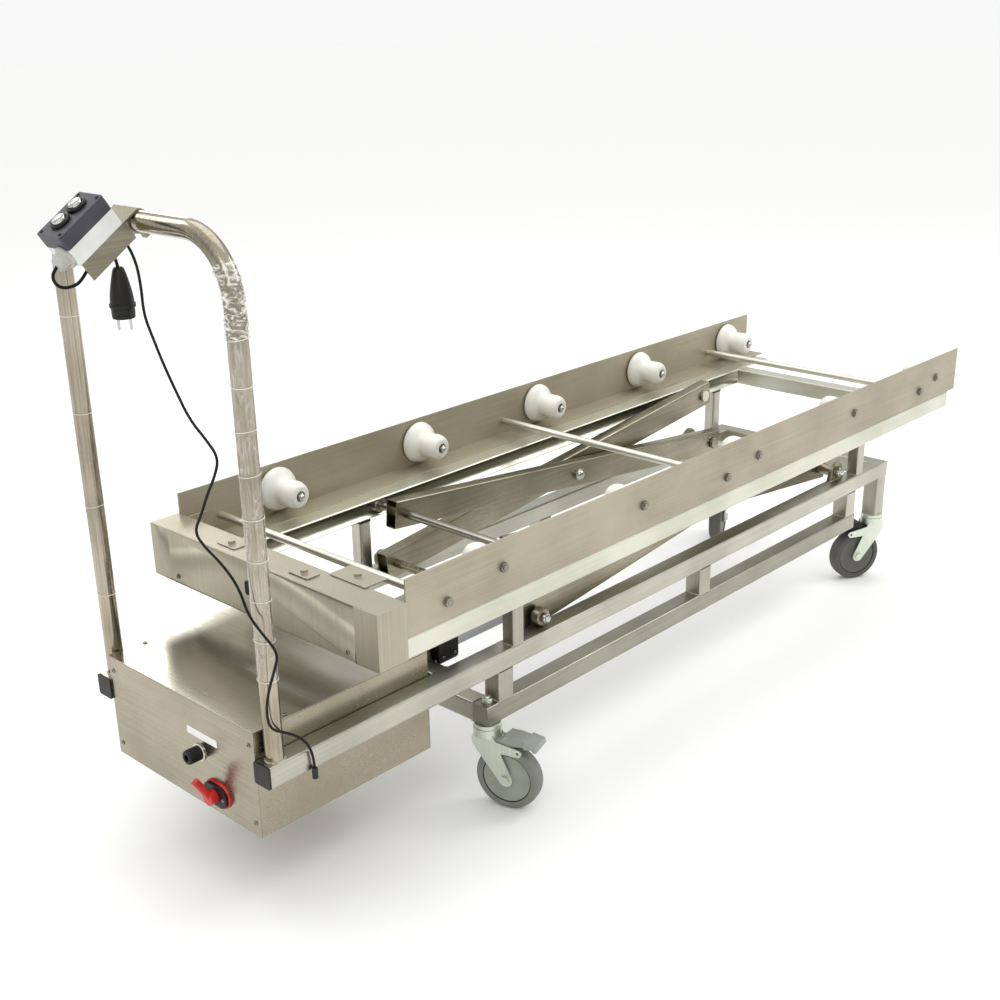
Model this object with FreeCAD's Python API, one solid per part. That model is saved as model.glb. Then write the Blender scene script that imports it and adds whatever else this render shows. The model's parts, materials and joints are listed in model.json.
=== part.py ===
import FreeCAD, Part
import math
import os

V = FreeCAD.Vector
os.makedirs("parts", exist_ok=True)

# base frame in square tube, millimetres, X counted from the rear face of the power box
tube = 40.0
wall = 2.0
corner = 4.0
halfWidth = 250.0
casterHeight = 172.0
postHeight = 60.0
lowerRearX = 500.0
lowerSetback = 150.0
rearPostX = 554.0
middlePostX = 1196.0
crossGap = 8.0
restTube = 30.0
restRearX = {-1: 590.0, 1: 634.0}
restSetback = {-1: 138.0, 1: 76.0}
padThick = 6.0
capThick = 4.0
legFloor = 5.0

# casters
wheelRadius = 65.0
wheelWidth = 32.0
trail = 45.0
rearCasterX = 520.0
forkGap = 2.5
forkPlate = 3.0
crownRadius = 27.0
crownHeight = 17.7
headHeight = 8.0
kingRadius = 8.0
axleRadius = 6.0
boltRadius = 6.0
pedalPinX = 16.0
pedalPinZ = 140.0
pedalPinRadius = 4.0
earAt = (70.0, 127.0)
casterTurns = {"rear_right": -72.0, "rear_left": 72.0, "front_right": 152.0, "front_left": 205.0}

# power box
boxLength = 390.0
boxBottom = 163.0
boxTop = 361.0
sheet = 2.0
socketAt = (-53.0, 265.0)
socketRadius = 13.0
isolatorAt = (-98.0, 203.0)
keyRadius = 9.0
keyLean = (-0.5, 0.12, 0.85)
batteryLength = 180.0
batteryHeight = 100.0
batteryInset = 40.0
batteryGap = 40.0
controllerLength = 110.0
controllerWidth = 140.0
controllerHeight = 45.0

# handle and control box
handleRadius = 16.0
handleX = 25.0
barZ = 1146.0
bendRadius = 100.0
tilt = 33.5
controlY = 16.0
controlLength = 94.0
controlWidth = 64.0
baseDepth = 28.0
lidDepth = 24.0
plateThick = 3.0
reach = 72.0
buttonRadius = 11.0
buttonPitch = 35.0
bandThick = 3.0
bandWidth = 12.0
bandPitch = 36.0
leadRadius = 2.25
plugLeadRadius = 2.5

# lifting scissor
lowerRoller = 18.0
lowerRollerWidth = 20.0
upperRollerWidth = 24.0
armPitch = 1110.0
armWidth = 30.0
armHeight = 60.0
armEnd = 28.0
armGap = 3.0
armSpace = 4.0
pinRadius = 10.0
shaftRadius = 9.0
actuatorSpan = 262.082
actuatorRod = 10.0
frontReach = 204.5

# roller deck
deckGap = 119.0
railWidth = 100.0
railHeight = 40.0
railWall = 3.0
railOuter = 315.0
railRearX = 248.0
railReach = 363.5
deckCrossRear = 27.0
deckCrossReach = 234.5
fenceReach = 35.0
fenceHeight = 105.0
fenceThick = 3.0
rollerCount = 5
rollerFirst = 232.0
rollerLast = 110.0
rollerRise = 52.5
tieFirst = 94.0
tieMiddle = 116.0
tieLast = 192.0
tieRise = 34.0
tieRadius = 8.0
deckAxle = 6.0
rollerNose = 80.0
nutRecess = 9.0
housingDepth = 65.0
housingRise = 65.0
coverWidth = 55.0
tabThick = 3.0
keySlotY = 25.0
keySlotWidth = 12.0
keySlotHeight = 28.0

# clearances: running fits, free gaps between moving pieces, holes for fixed bolts
fit = 0.05
free = 0.3
hole = 0.2

inner = halfWidth - tube
tubeY = halfWidth - tube / 2
lowerZ = casterHeight + tube / 2
upperZ = lowerZ + tube + postHeight
upperTop = upperZ + tube / 2
railZ = upperTop + deckGap
railTop = railZ + railHeight
railInner = railOuter - railWidth
armBY = min(inner, railInner) - armGap - armWidth / 2
armAY = armBY - armWidth - armSpace
actuatorY = -armAY
lowPinZ = upperTop + lowerRoller + free
highPinZ = railZ + railHeight / 2
upperRoller = railHeight / 2 - railWall - free
armAngle = math.degrees(math.asin((highPinZ - lowPinZ) / armPitch))
upperCrossX = boxLength + crossGap + tube / 2
armRearX = upperCrossX + actuatorSpan
pivotX = armRearX + armPitch * math.cos(math.radians(armAngle))
frontX = pivotX + frontReach
frontCasterX = frontX - tube / 2
lowerFrontX = frontX - lowerSetback
postX = (rearPostX, middlePostX, lowerFrontX - tube / 2)
railFrontX = pivotX + railReach
fenceFrontX = railFrontX + fenceReach
fenceInner = railOuter - fenceThick
rollerPitch = (fenceFrontX - rollerLast - railRearX - rollerFirst) / (rollerCount - 1)
rollerX = [railRearX + rollerFirst + rollerPitch * i for i in range(rollerCount)]
rollerZ = railTop + rollerRise
tieX = (railRearX + tieFirst, rollerX[2] - tieMiddle, fenceFrontX - tieLast)
tieZ = railTop + tieRise

nodes = {}
cords = ("plug_lead", "control_lead")
sides = (-1, 1)


def keep(name, *solids):
    nodes[name] = solids[0] if len(solids) == 1 else Part.makeCompound(list(solids))


def joined(first, *others):
    return first.fuse(list(others)).removeSplitter()


def block(x0, x1, y0, y1, z0, z1):
    return Part.makeBox(x1 - x0, abs(y1 - y0), z1 - z0, V(x0, min(y0, y1), z0))


def rod(at, direction, radius, length):
    return Part.makeCylinder(radius, length, V(*at), V(*direction))


def placed(shape, at, direction):
    shape.Placement = FreeCAD.Placement(V(*at), FreeCAD.Rotation(V(0, 0, 1), V(*direction)))
    return shape


def hexagon(at, direction, flats, height):
    points = [V(flats / math.sqrt(3) * math.cos(math.radians(60 * i)),
                flats / math.sqrt(3) * math.sin(math.radians(60 * i)), 0) for i in range(7)]
    return placed(Part.Face(Part.makePolygon(points)).extrude(V(0, 0, height)), at, direction)


def turned(profile, at, direction):
    points = [V(radius, 0, height) for radius, height in profile]
    face = Part.Face(Part.makePolygon(points + points[:1]))
    return placed(face.revolve(V(0, 0, 0), V(0, 0, 1), 360), at, direction)


def bar(length, width, height, radius):
    solid = Part.makeBox(length, width, height, V(0, -width / 2, -height / 2))
    edges = [e for e in solid.Edges if abs(e.tangentAt(e.FirstParameter).x) > 0.9]
    return solid.makeFillet(radius, edges) if radius else solid


def rectTube(axis, start, length, width, height, endPlate=0.0):
    hollow = bar(length - 2 * endPlate, width - 2 * wall, height - 2 * wall, 0)
    hollow.translate(V(endPlate, 0, 0))
    solid = bar(length, width, height, corner).cut(hollow)
    turns = {"x": (V(0, 0, 1), 0), "y": (V(0, 0, 1), 90), "z": (V(0, 1, 0), -90)}[axis]
    solid.Placement = FreeCAD.Placement(V(*start), FreeCAD.Rotation(*turns))
    return solid


def belt(c1, r1, c2, r2, y0, y1):
    phi = math.atan2(c2[1] - c1[1], c2[0] - c1[0])
    beta = math.acos((r1 - r2) / math.hypot(c2[0] - c1[0], c2[1] - c1[1]))

    def point(c, r, angle):
        return V(c[0] + r * math.cos(angle), y0, c[1] + r * math.sin(angle))
    a, b = point(c1, r1, phi + beta), point(c1, r1, phi - beta)
    c, d = point(c2, r2, phi - beta), point(c2, r2, phi + beta)
    edges = [Part.Arc(a, point(c1, r1, phi + math.pi), b), Part.LineSegment(b, c),
             Part.Arc(c, point(c2, r2, phi), d), Part.LineSegment(d, a)]
    return Part.Face(Part.Wire([e.toShape() for e in edges])).extrude(V(0, y1 - y0, 0))


def slab(outline, z, half):
    points = [V(x, -half, z + rise) for x, rise in outline]
    return Part.Face(Part.makePolygon(points + points[:1])).extrude(V(0, 2 * half, 0))


def pipe(edges, radius, start, direction):
    ring = Part.Wire([Part.makeCircle(radius, start, direction)])
    return Part.Wire([e.toShape() for e in edges]).makePipeShell([ring], True, False)


def cord(name, points, radius):
    points = [V(*p) for p in points]
    edges, last, tightest, length = [], points[0], 1e9, 0.0
    for before, at, after in zip(points, points[1:], points[2:]):
        u, w = (at - before).normalize(), (after - at).normalize()
        half = u.getAngle(w) / 2
        back = 0.45 * min((at - before).Length, (after - at).Length)
        bend = back / math.tan(half)
        tightest = min(tightest, bend)
        middle = at + (w - u).normalize() * (bend / math.cos(half) - bend)
        edges += [Part.LineSegment(last, at - u * back), Part.Arc(at - u * back, middle, at + w * back)]
        length += (at - u * back - last).Length + 2 * half * bend
        last = at + w * back
    edges.append(Part.LineSegment(last, points[-1]))
    length += (points[-1] - last).Length
    solid = pipe(edges, radius, points[0], points[1] - points[0])
    print(name, "tightest bend", round(tightest, 1), "volume ratio",
          round(solid.Volume / (math.pi * radius ** 2 * length), 4))
    keep(name, solid)


def buildBase():
    tubes = []
    for side in sides:
        tubes.append(rectTube("x", (0, side * tubeY, upperZ), frontX - tube, tube, tube))
        lower = rectTube("x", (lowerRearX, side * tubeY, lowerZ), lowerFrontX - lowerRearX, tube, tube, wall)
        bore = rod((rearCasterX, side * tubeY, casterHeight), (0, 0, 1), boltRadius + hole, tube)
        tubes.append(lower.cut(bore))
    keep("base_side_tubes", *tubes)
    front = rectTube("y", (frontCasterX, -halfWidth, upperZ), 2 * halfWidth, tube, tube, wall)
    for side in sides:
        front = front.cut(rod((frontCasterX, side * tubeY, upperZ - tube / 2), (0, 0, 1), boltRadius, wall))
    keep("base_cross_tubes",
         rectTube("y", (lowerRearX + tube / 2, -inner, lowerZ), 2 * inner, tube, tube),
         rectTube("y", (upperCrossX, -inner, upperZ), 2 * inner, tube, tube), front)
    posts, rubber = [], []
    restHeight = railZ - free - padThick - upperTop
    restY = halfWidth - restTube / 2
    for side in sides:
        posts += [rectTube("z", (x, side * tubeY, lowerZ + tube / 2), postHeight, tube, tube) for x in postX]
        leg = rectTube("z", (frontCasterX, side * tubeY, casterHeight), postHeight + tube, tube, tube)
        plate = bar(legFloor, tube - 2 * wall, tube - 2 * wall, 0)
        plate.Placement = FreeCAD.Placement(V(frontCasterX, side * tubeY, casterHeight),
                                            FreeCAD.Rotation(V(0, 1, 0), -90))
        bore = rod((frontCasterX, side * tubeY, casterHeight), (0, 0, 1), boltRadius + hole, legFloor)
        posts.append(joined(leg, plate).cut(bore))
        for x in (restRearX[side], frontX - restSetback[side]):
            posts.append(rectTube("z", (x, side * restY, upperTop), restHeight, restTube, restTube))
            half = restTube / 2
            rubber.append(block(x - half, x + half, side * restY - half, side * restY + half,
                                upperTop + restHeight, upperTop + restHeight + padThick))
        cap = bar(capThick, tube, tube, corner)
        cap.translate(V(-capThick, side * tubeY, upperZ))
        plug = bar(12.0, tube - 2 * wall - hole, tube - 2 * wall - hole, 0)
        plug.translate(V(0, side * tubeY, upperZ))
        rubber.append(joined(cap, plug))
    keep("base_posts", *posts)
    keep("rubber_pads_and_caps", *rubber)


def buildCasters():
    stems = []
    crownTop = casterHeight - headHeight - free
    crownBottom = crownTop - crownHeight
    plateIn = wheelWidth / 2 + forkGap
    plateOut = plateIn + forkPlate
    for name, turn in casterTurns.items():
        end, hand = name.split("_")
        x = rearCasterX if end == "rear" else frontCasterX
        y = tubeY if hand == "left" else -tubeY
        grip = tube if end == "rear" else legFloor
        stem = joined(rod((0, 0, casterHeight - headHeight), (0, 0, 1), crownRadius - 1, headHeight),
                      rod((0, 0, crownBottom - free - 4), (0, 0, 1), kingRadius, crownHeight + 8),
                      rod((0, 0, crownBottom - free - 4), (0, 0, 1), kingRadius + 1.5, 4),
                      rod((0, 0, casterHeight), (0, 0, 1), boltRadius, grip + 14),
                      hexagon((0, 0, casterHeight + grip), (0, 0, 1), 19.0, 10.0))
        crown = rod((0, 0, crownBottom), (0, 0, 1), crownRadius, crownHeight)
        reachUp = crownTop - pedalPinZ
        legs = []
        for s in sides:
            leg = belt((0, pedalPinZ), reachUp, (trail, wheelRadius), 14.0, s * plateIn, s * plateOut)
            ear = belt((6, 132), 13.0, earAt, 8.0, s * plateIn, s * plateOut)
            eye = rod((earAt[0], -plateOut - 1, earAt[1]), (0, 1, 0), 3.0, 2 * plateOut + 2)
            legs.append(leg.fuse(ear).cut(eye))
        axle = rod((trail, -plateOut - 1, wheelRadius), (0, 1, 0), axleRadius, 2 * plateOut + 2)
        heads = [hexagon((trail, s * plateOut, wheelRadius), (0, s, 0), 17.0, 6.0) for s in sides]
        pin = rod((pedalPinX, -plateOut, pedalPinZ), (0, 1, 0), pedalPinRadius, 2 * plateOut)
        fork = joined(crown, *legs, axle, pin, *heads)
        fork = fork.cut(rod((0, 0, crownBottom - 1), (0, 0, 1), kingRadius + fit, crownHeight + 2))
        w, r = wheelWidth / 2, wheelRadius
        hub = plateIn - free
        bore = axleRadius + fit
        face = [(bore, hub), (15, hub), (15, w - 1.5), (r - 17, w - 1.5), (r - 16.5, w - 4),
                (r - 15.5, w - 4), (r - 15, w), (r - 5, w), (r - 1.3, w - 3.7), (r, w - 9)]
        wheel = turned([(a, -b) for a, b in face] + face[::-1], (trail, 0, r), (0, 1, 0))
        boss = rod((pedalPinX, -15, pedalPinZ), (0, 1, 0), pedalPinRadius + 1.5, 30)
        neck = slab([(pedalPinX, -4), (48, -4), (84, 1), (84, 14), (66, 17), (44, 17), (32, 4),
                     (pedalPinX, 4)], pedalPinZ, plateIn - 1.5)
        tip = slab([(84, 1), (100, 3), (104, -2), (110, -1), (108, 9), (84, 14)], pedalPinZ, plateOut + 2.5)
        bore = rod((pedalPinX, -plateIn, pedalPinZ), (0, 1, 0), pedalPinRadius + fit, 2 * plateIn)
        pedal = joined(boss, neck, tip).cut(bore)
        put = FreeCAD.Placement(V(x, y, 0), FreeCAD.Rotation(V(0, 0, 1), turn))
        for shape in (stem, fork, wheel, pedal):
            shape.Placement = put.multiply(shape.Placement)
        stems.append(stem)
        keep("caster_fork_" + name, fork)
        keep("caster_wheel_" + name, wheel)
        keep("brake_pedal_" + name, pedal)
    keep("caster_stems", *stems)


def buildPowerBox():
    lidZ = boxTop - sheet
    tray = block(sheet, boxLength, -inner, inner, boxBottom, lidZ)
    keep("power_box_tray", tray.cut(block(sheet, boxLength - sheet, sheet - inner, inner - sheet,
                                          boxBottom + sheet, lidZ)))
    lips = block(2 * sheet, boxLength - 2 * sheet, 2 * sheet - inner, inner - 2 * sheet, lidZ - 12, lidZ)
    lips = lips.cut(block(3 * sheet, boxLength - 3 * sheet, 3 * sheet - inner, inner - 3 * sheet,
                          lidZ - 12, lidZ))
    keep("power_box_lid", joined(block(0, boxLength, -inner, inner, lidZ, boxTop), lips))
    panel = block(0, sheet, -inner, inner, boxBottom, lidZ)
    barrel = socketRadius - 2
    keep("power_box_rear_panel", panel.cut(rod((0, *socketAt), (1, 0, 0), barrel + hole, sheet)))
    keep("charge_socket",
         turned([(6, 0), (socketRadius + 3, 0), (socketRadius + 3, 3), (socketRadius, 4), (socketRadius, 26),
                 (socketRadius - 2, 28), (6, 28)], (0, *socketAt), (-1, 0, 0)).fuse(
             turned([(0, 0), (barrel, 0), (barrel, 22), (0, 22)], (0, *socketAt), (1, 0, 0))))
    y, z = isolatorAt
    bezel = bar(10.0, 64.0, 40.0, 19.0)
    bezel.translate(V(-10, y, z))
    keep("isolator_base", bezel.cut(rod((-10, y, z), (1, 0, 0), keyRadius + fit, 8)))
    hub = rod((-22, y, z), (1, 0, 0), keyRadius, 20 - free)
    collar = rod((-24, y, z), (1, 0, 0), keyRadius + 4, 14 - free)
    lever = Part.makeBox(13, 11, 50, V(-6.5, -5.5, -4))
    lever = lever.makeFillet(3.5, [e for e in lever.Edges if abs(e.tangentAt(e.FirstParameter).z) > 0.9])
    keep("isolator_plug", joined(hub, collar, placed(lever, (-18, y, z), keyLean)))
    floor = boxBottom + sheet
    pack = [block(batteryInset, batteryInset + batteryLength, s * batteryGap / 2, s * (inner - batteryInset),
                  floor, floor + batteryHeight) for s in sides]
    front = boxLength - batteryInset
    pack.append(block(front - controllerLength, front, -controllerWidth / 2, controllerWidth / 2,
                      floor, floor + controllerHeight))
    keep("power_pack", *pack)


def buildHandle():
    top = barZ - bendRadius
    flat = tubeY - bendRadius
    cut = bendRadius * (1 - math.sqrt(0.5))
    points = [V(handleX, -tubeY, upperTop), V(handleX, -tubeY, top), V(handleX, -tubeY + cut, barZ - cut),
              V(handleX, -flat, barZ), V(handleX, flat, barZ), V(handleX, tubeY - cut, barZ - cut),
              V(handleX, tubeY, top), V(handleX, tubeY, upperTop)]
    edges = [Part.LineSegment(points[0], points[1]), Part.Arc(*points[1:4]),
             Part.LineSegment(points[3], points[4]), Part.Arc(*points[4:7]),
             Part.LineSegment(points[6], points[7])]
    outer = pipe(edges, handleRadius, points[0], V(0, 0, 1))
    keep("push_handle", outer.cut(pipe(edges, handleRadius - wall, points[0], V(0, 0, 1))))


def buildControl():
    c, s = math.cos(math.radians(tilt)), math.sin(math.radians(tilt))
    floor = -(baseDepth + lidDepth) / 2
    drop = handleRadius + plateThick - floor
    middle = V(handleX - reach * c - drop * s, controlY, barZ - reach * s + drop * c)
    put = FreeCAD.Placement(middle, FreeCAD.Rotation(V(0, 1, 0), -tilt))
    l, w = controlLength / 2, controlWidth / 2
    seam = floor + baseDepth
    plate = block(-l + 3, reach + 8, -w, w, floor - plateThick, floor)
    flange = block(-l + 3, l + 3, -w, plateThick - w, floor - plateThick - 28, floor)
    leadHole = rod((l - 9, -20, floor - 10), (0, 0, 1), leadRadius + free, 14)
    bands = []
    for side in sides:
        y, half = side * bandPitch / 2, bandWidth / 2
        inside, outside = handleRadius + hole, handleRadius + bandThick
        bands.append(turned([(inside, -half), (outside, -half), (outside, half), (inside, half)],
                            (reach, y, -drop), (0, 1, 0)))
        bands.append(block(reach - 5, reach + 5, y - half, y + half,
                           -drop - outside - 10, -drop - outside + 1))
        bands.append(hexagon((reach + 5, y, -drop - outside - 5), (1, 0, 0), 8.0, 4.0))
    parts = {"control_bracket": joined(plate, flange, *bands).cut(leadHole)}

    def shell(z0, z1, cavity0, cavity1):
        solid = bar(z1 - z0, controlWidth, controlLength, 4.0)
        solid.Placement = FreeCAD.Placement(V(0, 0, z0), FreeCAD.Rotation(V(0, 1, 0), -90))
        return solid.cut(block(3 - l, l - 3, 3 - w, w - 3, cavity0, cavity1))
    glandAt = (-l, -12, floor + 16)
    base = shell(floor, seam, floor + 3, seam)
    parts["control_box_base"] = base.cut(leadHole).cut(rod(glandAt, (1, 0, 0), 8.0 + hole, 4))
    lid = shell(seam, -floor, seam, -floor - 3)
    for name, x in (("button_down", -buttonPitch / 2), ("button_up", buttonPitch / 2)):
        lid = lid.fuse(rod((x, 0, -floor), (0, 0, 1), buttonRadius + 4.5, 4))
        lid = lid.cut(rod((x, 0, seam), (0, 0, 1), buttonRadius + free, 40))
        r, top = buttonRadius, -floor + 9
        parts[name] = turned([(0, top - 22), (r + 2, top - 22), (r + 2, top - 19), (r, top - 19),
                              (r, top - 1.5), (r - 1.5, top), (0, top)], (x, 0, 0), (0, 0, 1))
    parts["control_box_lid"] = lid.removeSplitter()
    clear = plugLeadRadius + hole
    gland = turned([(clear, -5), (8, -5), (8, 0), (18.5, 0), (18.5, 5), (13.5, 7), (13.5, 17), (7, 23),
                    (clear, 23)], glandAt, (-1, 0, 0))
    parts["cable_gland"] = gland
    for name, shape in parts.items():
        shape.Placement = put.multiply(shape.Placement)
        keep(name, shape)
    print("control centre", [round(v, 2) for v in middle])


plugRoute = [(-97.72, 4, 1106.74), (-118.1, 4, 1093.25), (-121, 4, 1078), (-111, 3, 1066), (-95, 1, 1065),
             (-78, 0, 1070), (-52, -1, 1104), (-15, -2, 1107), (-15, -2, 1071)]
leadRoute = [(-18.26, -4, 1149.75), (-0.6, -4, 1123.07), (9, -14, 1090), (3, -30, 1054),
             (-3, -38, 1014), (-4, -58, 980), (-4, -78, 944), (-4, -104, 906), (-4, -132, 868),
             (-4, -168, 845), (-4, -197, 822), (-4, -182, 789), (-4, -158, 755), (-4, -137, 718),
             (-4, -112, 682), (-4, -140, 662), (-4, -180, 646), (-4, -217, 618), (-4, -234, 578),
             (-4, -266, 556), (-4, -302, 536), (-4, -290, 504), (-4, -270, 462), (-4, -258, 420),
             (2, -256, 384), (36, -256, 364), (68, -256, 338), (84, -256, 302), (84, -256, 270)]


def buildLeads():
    cord("plug_lead", plugRoute, plugLeadRadius)
    cord("control_lead", leadRoute, leadRadius)
    x, y, z = plugRoute[-1]
    top = z + 12
    clear = plugLeadRadius + hole
    plug = turned([(clear, 0), (5, 0), (10, 28), (16, 33), (18.5, 52), (18.5, 54), (20, 55), (20, 60),
                   (18, 61), (17.5, 77), (0, 77), (0, 14), (clear, 14)], (x, y, top), (0, 0, -1))
    pins = [rod((x + 6 * k, y - 7.5 * k, top - 96), (0, 0, 1), 2.4, 20) for k in sides]
    keep("mains_plug", joined(plug, *pins))
    x, y, z = leadRoute[-1]
    clear = leadRadius + hole
    keep("lead_connector", turned([(clear, 0), (4.5, 0), (5, 4), (5, 20), (0, 20), (0, 10), (clear, 10)],
                                  (x, y, z + 9), (0, 0, -1)))


def armPair(y, sign):
    solids = []
    for side in sides:
        along = armPitch + 2 * armEnd
        solid = rectTube("x", (-armPitch - armEnd, side * y, 0), along, armWidth, armHeight)
        for x in (0, -armPitch / 2, -armPitch):
            solid = solid.fuse(rod((x, side * y - armWidth / 2, 0), (0, 1, 0), pinRadius + 6, armWidth))
        for x, r in ((0, pinRadius), (-armPitch / 2, pinRadius), (-armPitch, shaftRadius)):
            solid = solid.cut(rod((x, side * y - armWidth, 0), (0, 1, 0), r + fit, 2 * armWidth))
        z = lowPinZ if sign > 0 else highPinZ
        solid.Placement = FreeCAD.Placement(V(pivotX, 0, z), FreeCAD.Rotation(V(0, 1, 0), sign * armAngle))
        solids.append(solid.removeSplitter())
    return solids


def rollerShaft(z, y, radius, width):
    half = width / 2
    shaft = rod((armRearX, -y - half - 4, z), (0, 1, 0), shaftRadius, 2 * y + width + 8)
    profile = [(shaftRadius, -half), (radius - 2, -half), (radius, 2 - half), (radius, half - 2),
               (radius - 2, half), (shaftRadius, half)]
    return [shaft] + [turned(profile, (armRearX, s * y, z), (0, 1, 0)) for s in sides]


def buildScissor():
    keep("scissor_arms_a", *armPair(armAY, 1))
    keep("scissor_arms_b", *armPair(armBY, -1))
    keep("arm_a_roller_set", *rollerShaft(highPinZ, railInner + 16, upperRoller, upperRollerWidth))
    keep("arm_b_roller_set", *rollerShaft(lowPinZ, inner + 13, lowerRoller, lowerRollerWidth))
    aIn, aOut = armAY - armWidth / 2, armAY + armWidth / 2
    bIn, bOut = armBY - armWidth / 2, armBY + armWidth / 2
    centre = ((pivotX + armRearX) / 2, (lowPinZ + highPinZ) / 2)
    pivots, carriers = [], []
    for s in sides:
        def along(x, z, y0, y1, radius):
            return rod((x, s * y0, z), (0, s, 0), radius, y1 - y0)
        pivots.append(joined(along(*centre, aIn - 8, bOut + 1, pinRadius), along(*centre, aIn - 8, aIn, 14.0),
                             along(*centre, aOut + 0.5, bIn - 0.5, 14.0),
                             along(*centre, bOut + 1, bOut + 6, 14.0)))
        lug = belt((pivotX, upperTop - 12), 34.0, (pivotX, lowPinZ), 24.0, s * (inner + 3), s * (inner + 13))
        lug = lug.common(block(pivotX - 60, pivotX + 60, -halfWidth, halfWidth, upperTop, upperTop + 80))
        carriers.append(joined(lug, along(pivotX, lowPinZ, aIn - 1, inner + 18, pinRadius),
                               along(pivotX, lowPinZ, aIn - 9, aIn - 1, 14.0),
                               along(pivotX, lowPinZ, aOut + 1, inner + 3, 14.0),
                               along(pivotX, lowPinZ, inner + 13, inner + 19, 13.0)))
    keep("centre_pivots", *pivots)
    tail = 9.0
    for s in sides:
        y0 = actuatorY + s * (tail + 1)
        ear = belt((upperCrossX, upperTop), 18.0, (upperCrossX, lowPinZ), 14.0, y0, y0 + s * 6)
        ear = ear.common(block(upperCrossX - 40, upperCrossX + 40, -halfWidth, halfWidth,
                               upperTop, upperTop + 80))
        carriers.append(ear.cut(rod((upperCrossX, -halfWidth, lowPinZ), (0, 1, 0), 6.0 + hole, halfWidth)))
    carriers.append(rod((upperCrossX, actuatorY - 20, lowPinZ), (0, 1, 0), 6.0, 40))
    keep("pivot_brackets", *carriers)
    gearRear, gearFront, tubeEnd = upperCrossX + 22, upperCrossX + 72, armRearX - 28
    motorZ = lowPinZ + 46
    eye = joined(block(upperCrossX, gearRear, actuatorY - tail, actuatorY + tail, lowPinZ - 12, lowPinZ + 12),
                 rod((upperCrossX, actuatorY - tail, lowPinZ), (0, 1, 0), 12.0, 2 * tail))
    case = bar(gearFront - gearRear, 62.0, 108.0, 14.0)
    case.translate(V(gearRear, actuatorY, lowPinZ + 24))
    bore = rod((upperCrossX, -halfWidth, lowPinZ), (0, 1, 0), 6.0 + hole, halfWidth)
    keep("actuator_gearbox", joined(eye, case).cut(bore))
    sleeve = rod((gearFront, actuatorY, lowPinZ), (1, 0, 0), 18.0, tubeEnd - gearFront)
    bore = rod((gearFront, actuatorY, lowPinZ), (1, 0, 0), actuatorRod + fit, tubeEnd - gearFront)
    motor = turned([(0, 0), (22, 0), (22, 116), (19, 122), (0, 122)],
                   (gearFront, actuatorY, motorZ), (1, 0, 0))
    keep("actuator_drive", sleeve.cut(bore), motor)
    stroke = rod((gearFront + 2, actuatorY, lowPinZ), (1, 0, 0), actuatorRod, armRearX - 10 - gearFront)
    ring = rod((armRearX, actuatorY - 8, lowPinZ), (0, 1, 0), 17.0, 16)
    hollow = rod((armRearX, actuatorY - 20, lowPinZ), (0, 1, 0), shaftRadius + fit, 40)
    keep("actuator_rod", joined(stroke, ring).cut(hollow))


def buildDeck():
    frame, fences, ties, axles = [], [], [], []
    bIn, bOut = armBY - armWidth / 2, armBY + armWidth / 2
    for x in (railRearX + deckCrossRear, pivotX + deckCrossReach):
        frame.append(rectTube("y", (x, -railInner, railZ + railHeight / 2), 2 * railInner, tube, railHeight))
    for s in sides:
        rail = bar(railFrontX - railRearX, railWidth, railHeight, corner)
        rail.translate(V(railRearX, s * (railOuter - railWidth / 2), highPinZ))
        frame.append(rail.cut(block(railRearX, railFrontX, s * railInner, s * (railOuter - railWall),
                                    railZ + railWall, railTop - railWall)))
        lug = block(pivotX - 45, pivotX + 45, s * railInner, s * (railInner + 10),
                    railZ + railWall, railTop - railWall)
        pin = rod((pivotX, s * (railInner + 10), highPinZ), (0, -s, 0), pinRadius, railInner + 11 - bIn)
        head = rod((pivotX, s * (bIn - 1), highPinZ), (0, -s, 0), 14.0, 7)
        frame.append(joined(lug, pin, head))
        fence = joined(block(railRearX, fenceFrontX, s * fenceInner, s * railOuter,
                             railTop, railTop + fenceHeight),
                       block(railRearX, fenceFrontX, s * (railOuter - 58), s * railOuter,
                             railTop, railTop + fenceThick))
        for x in rollerX:
            fence = fence.cut(rod((x, s * (fenceInner - 1), rollerZ), (0, s, 0), deckAxle + hole,
                                  fenceThick + 2))
            axle = joined(rod((x, s * fenceInner, rollerZ), (0, -s, 0), 12.0, 2),
                          rod((x, s * (railOuter + 8), rollerZ), (0, -s, 0), deckAxle,
                              fenceThick + 8 + rollerNose),
                          hexagon((x, s * railOuter, rollerZ), (0, s, 0), 17.0, 6.0),
                          hexagon((x, s * (fenceInner - rollerNose + nutRecess - free), rollerZ),
                                  (0, -s, 0), 17.0, 8.0))
            axles.append(axle)
            end = rollerNose - 2 - free
            profile = [(deckAxle + fit, 0), (42, 0), (44.5, 2), (45, 5), (44, 9), (41, 12), (35, 17),
                       (29.5, 25), (27, 36), (27.5, 50), (28, 60), (26, 68), (22, 74), (17, end), (14, end),
                       (14, end - nutRecess), (deckAxle + fit, end - nutRecess)]
            name = "deck_roller_%s_%d" % ("left" if s > 0 else "right", rollerX.index(x) + 1)
            keep(name, turned(profile, (x, s * (fenceInner - 2 - free), rollerZ), (0, -s, 0)))
        for x in tieX:
            fence = fence.cut(rod((x, s * (fenceInner - 1), tieZ), (0, s, 0), 5.0 + hole, fenceThick + 2))
        fences.append(fence)
    for x in tieX:
        stud = fenceInner + fenceThick
        ties.append(joined(rod((x, -fenceInner, tieZ), (0, 1, 0), tieRadius, 2 * fenceInner),
                           rod((x, -stud - 8, tieZ), (0, 1, 0), 5.0, 2 * stud + 16),
                           *[hexagon((x, s * stud, tieZ), (0, s, 0), 16.0, 7.0) for s in sides]))
    keep("deck_frame", *frame)
    keep("deck_fences", *fences)
    keep("tie_rods", *ties)
    keep("roller_axles", *axles)


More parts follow.
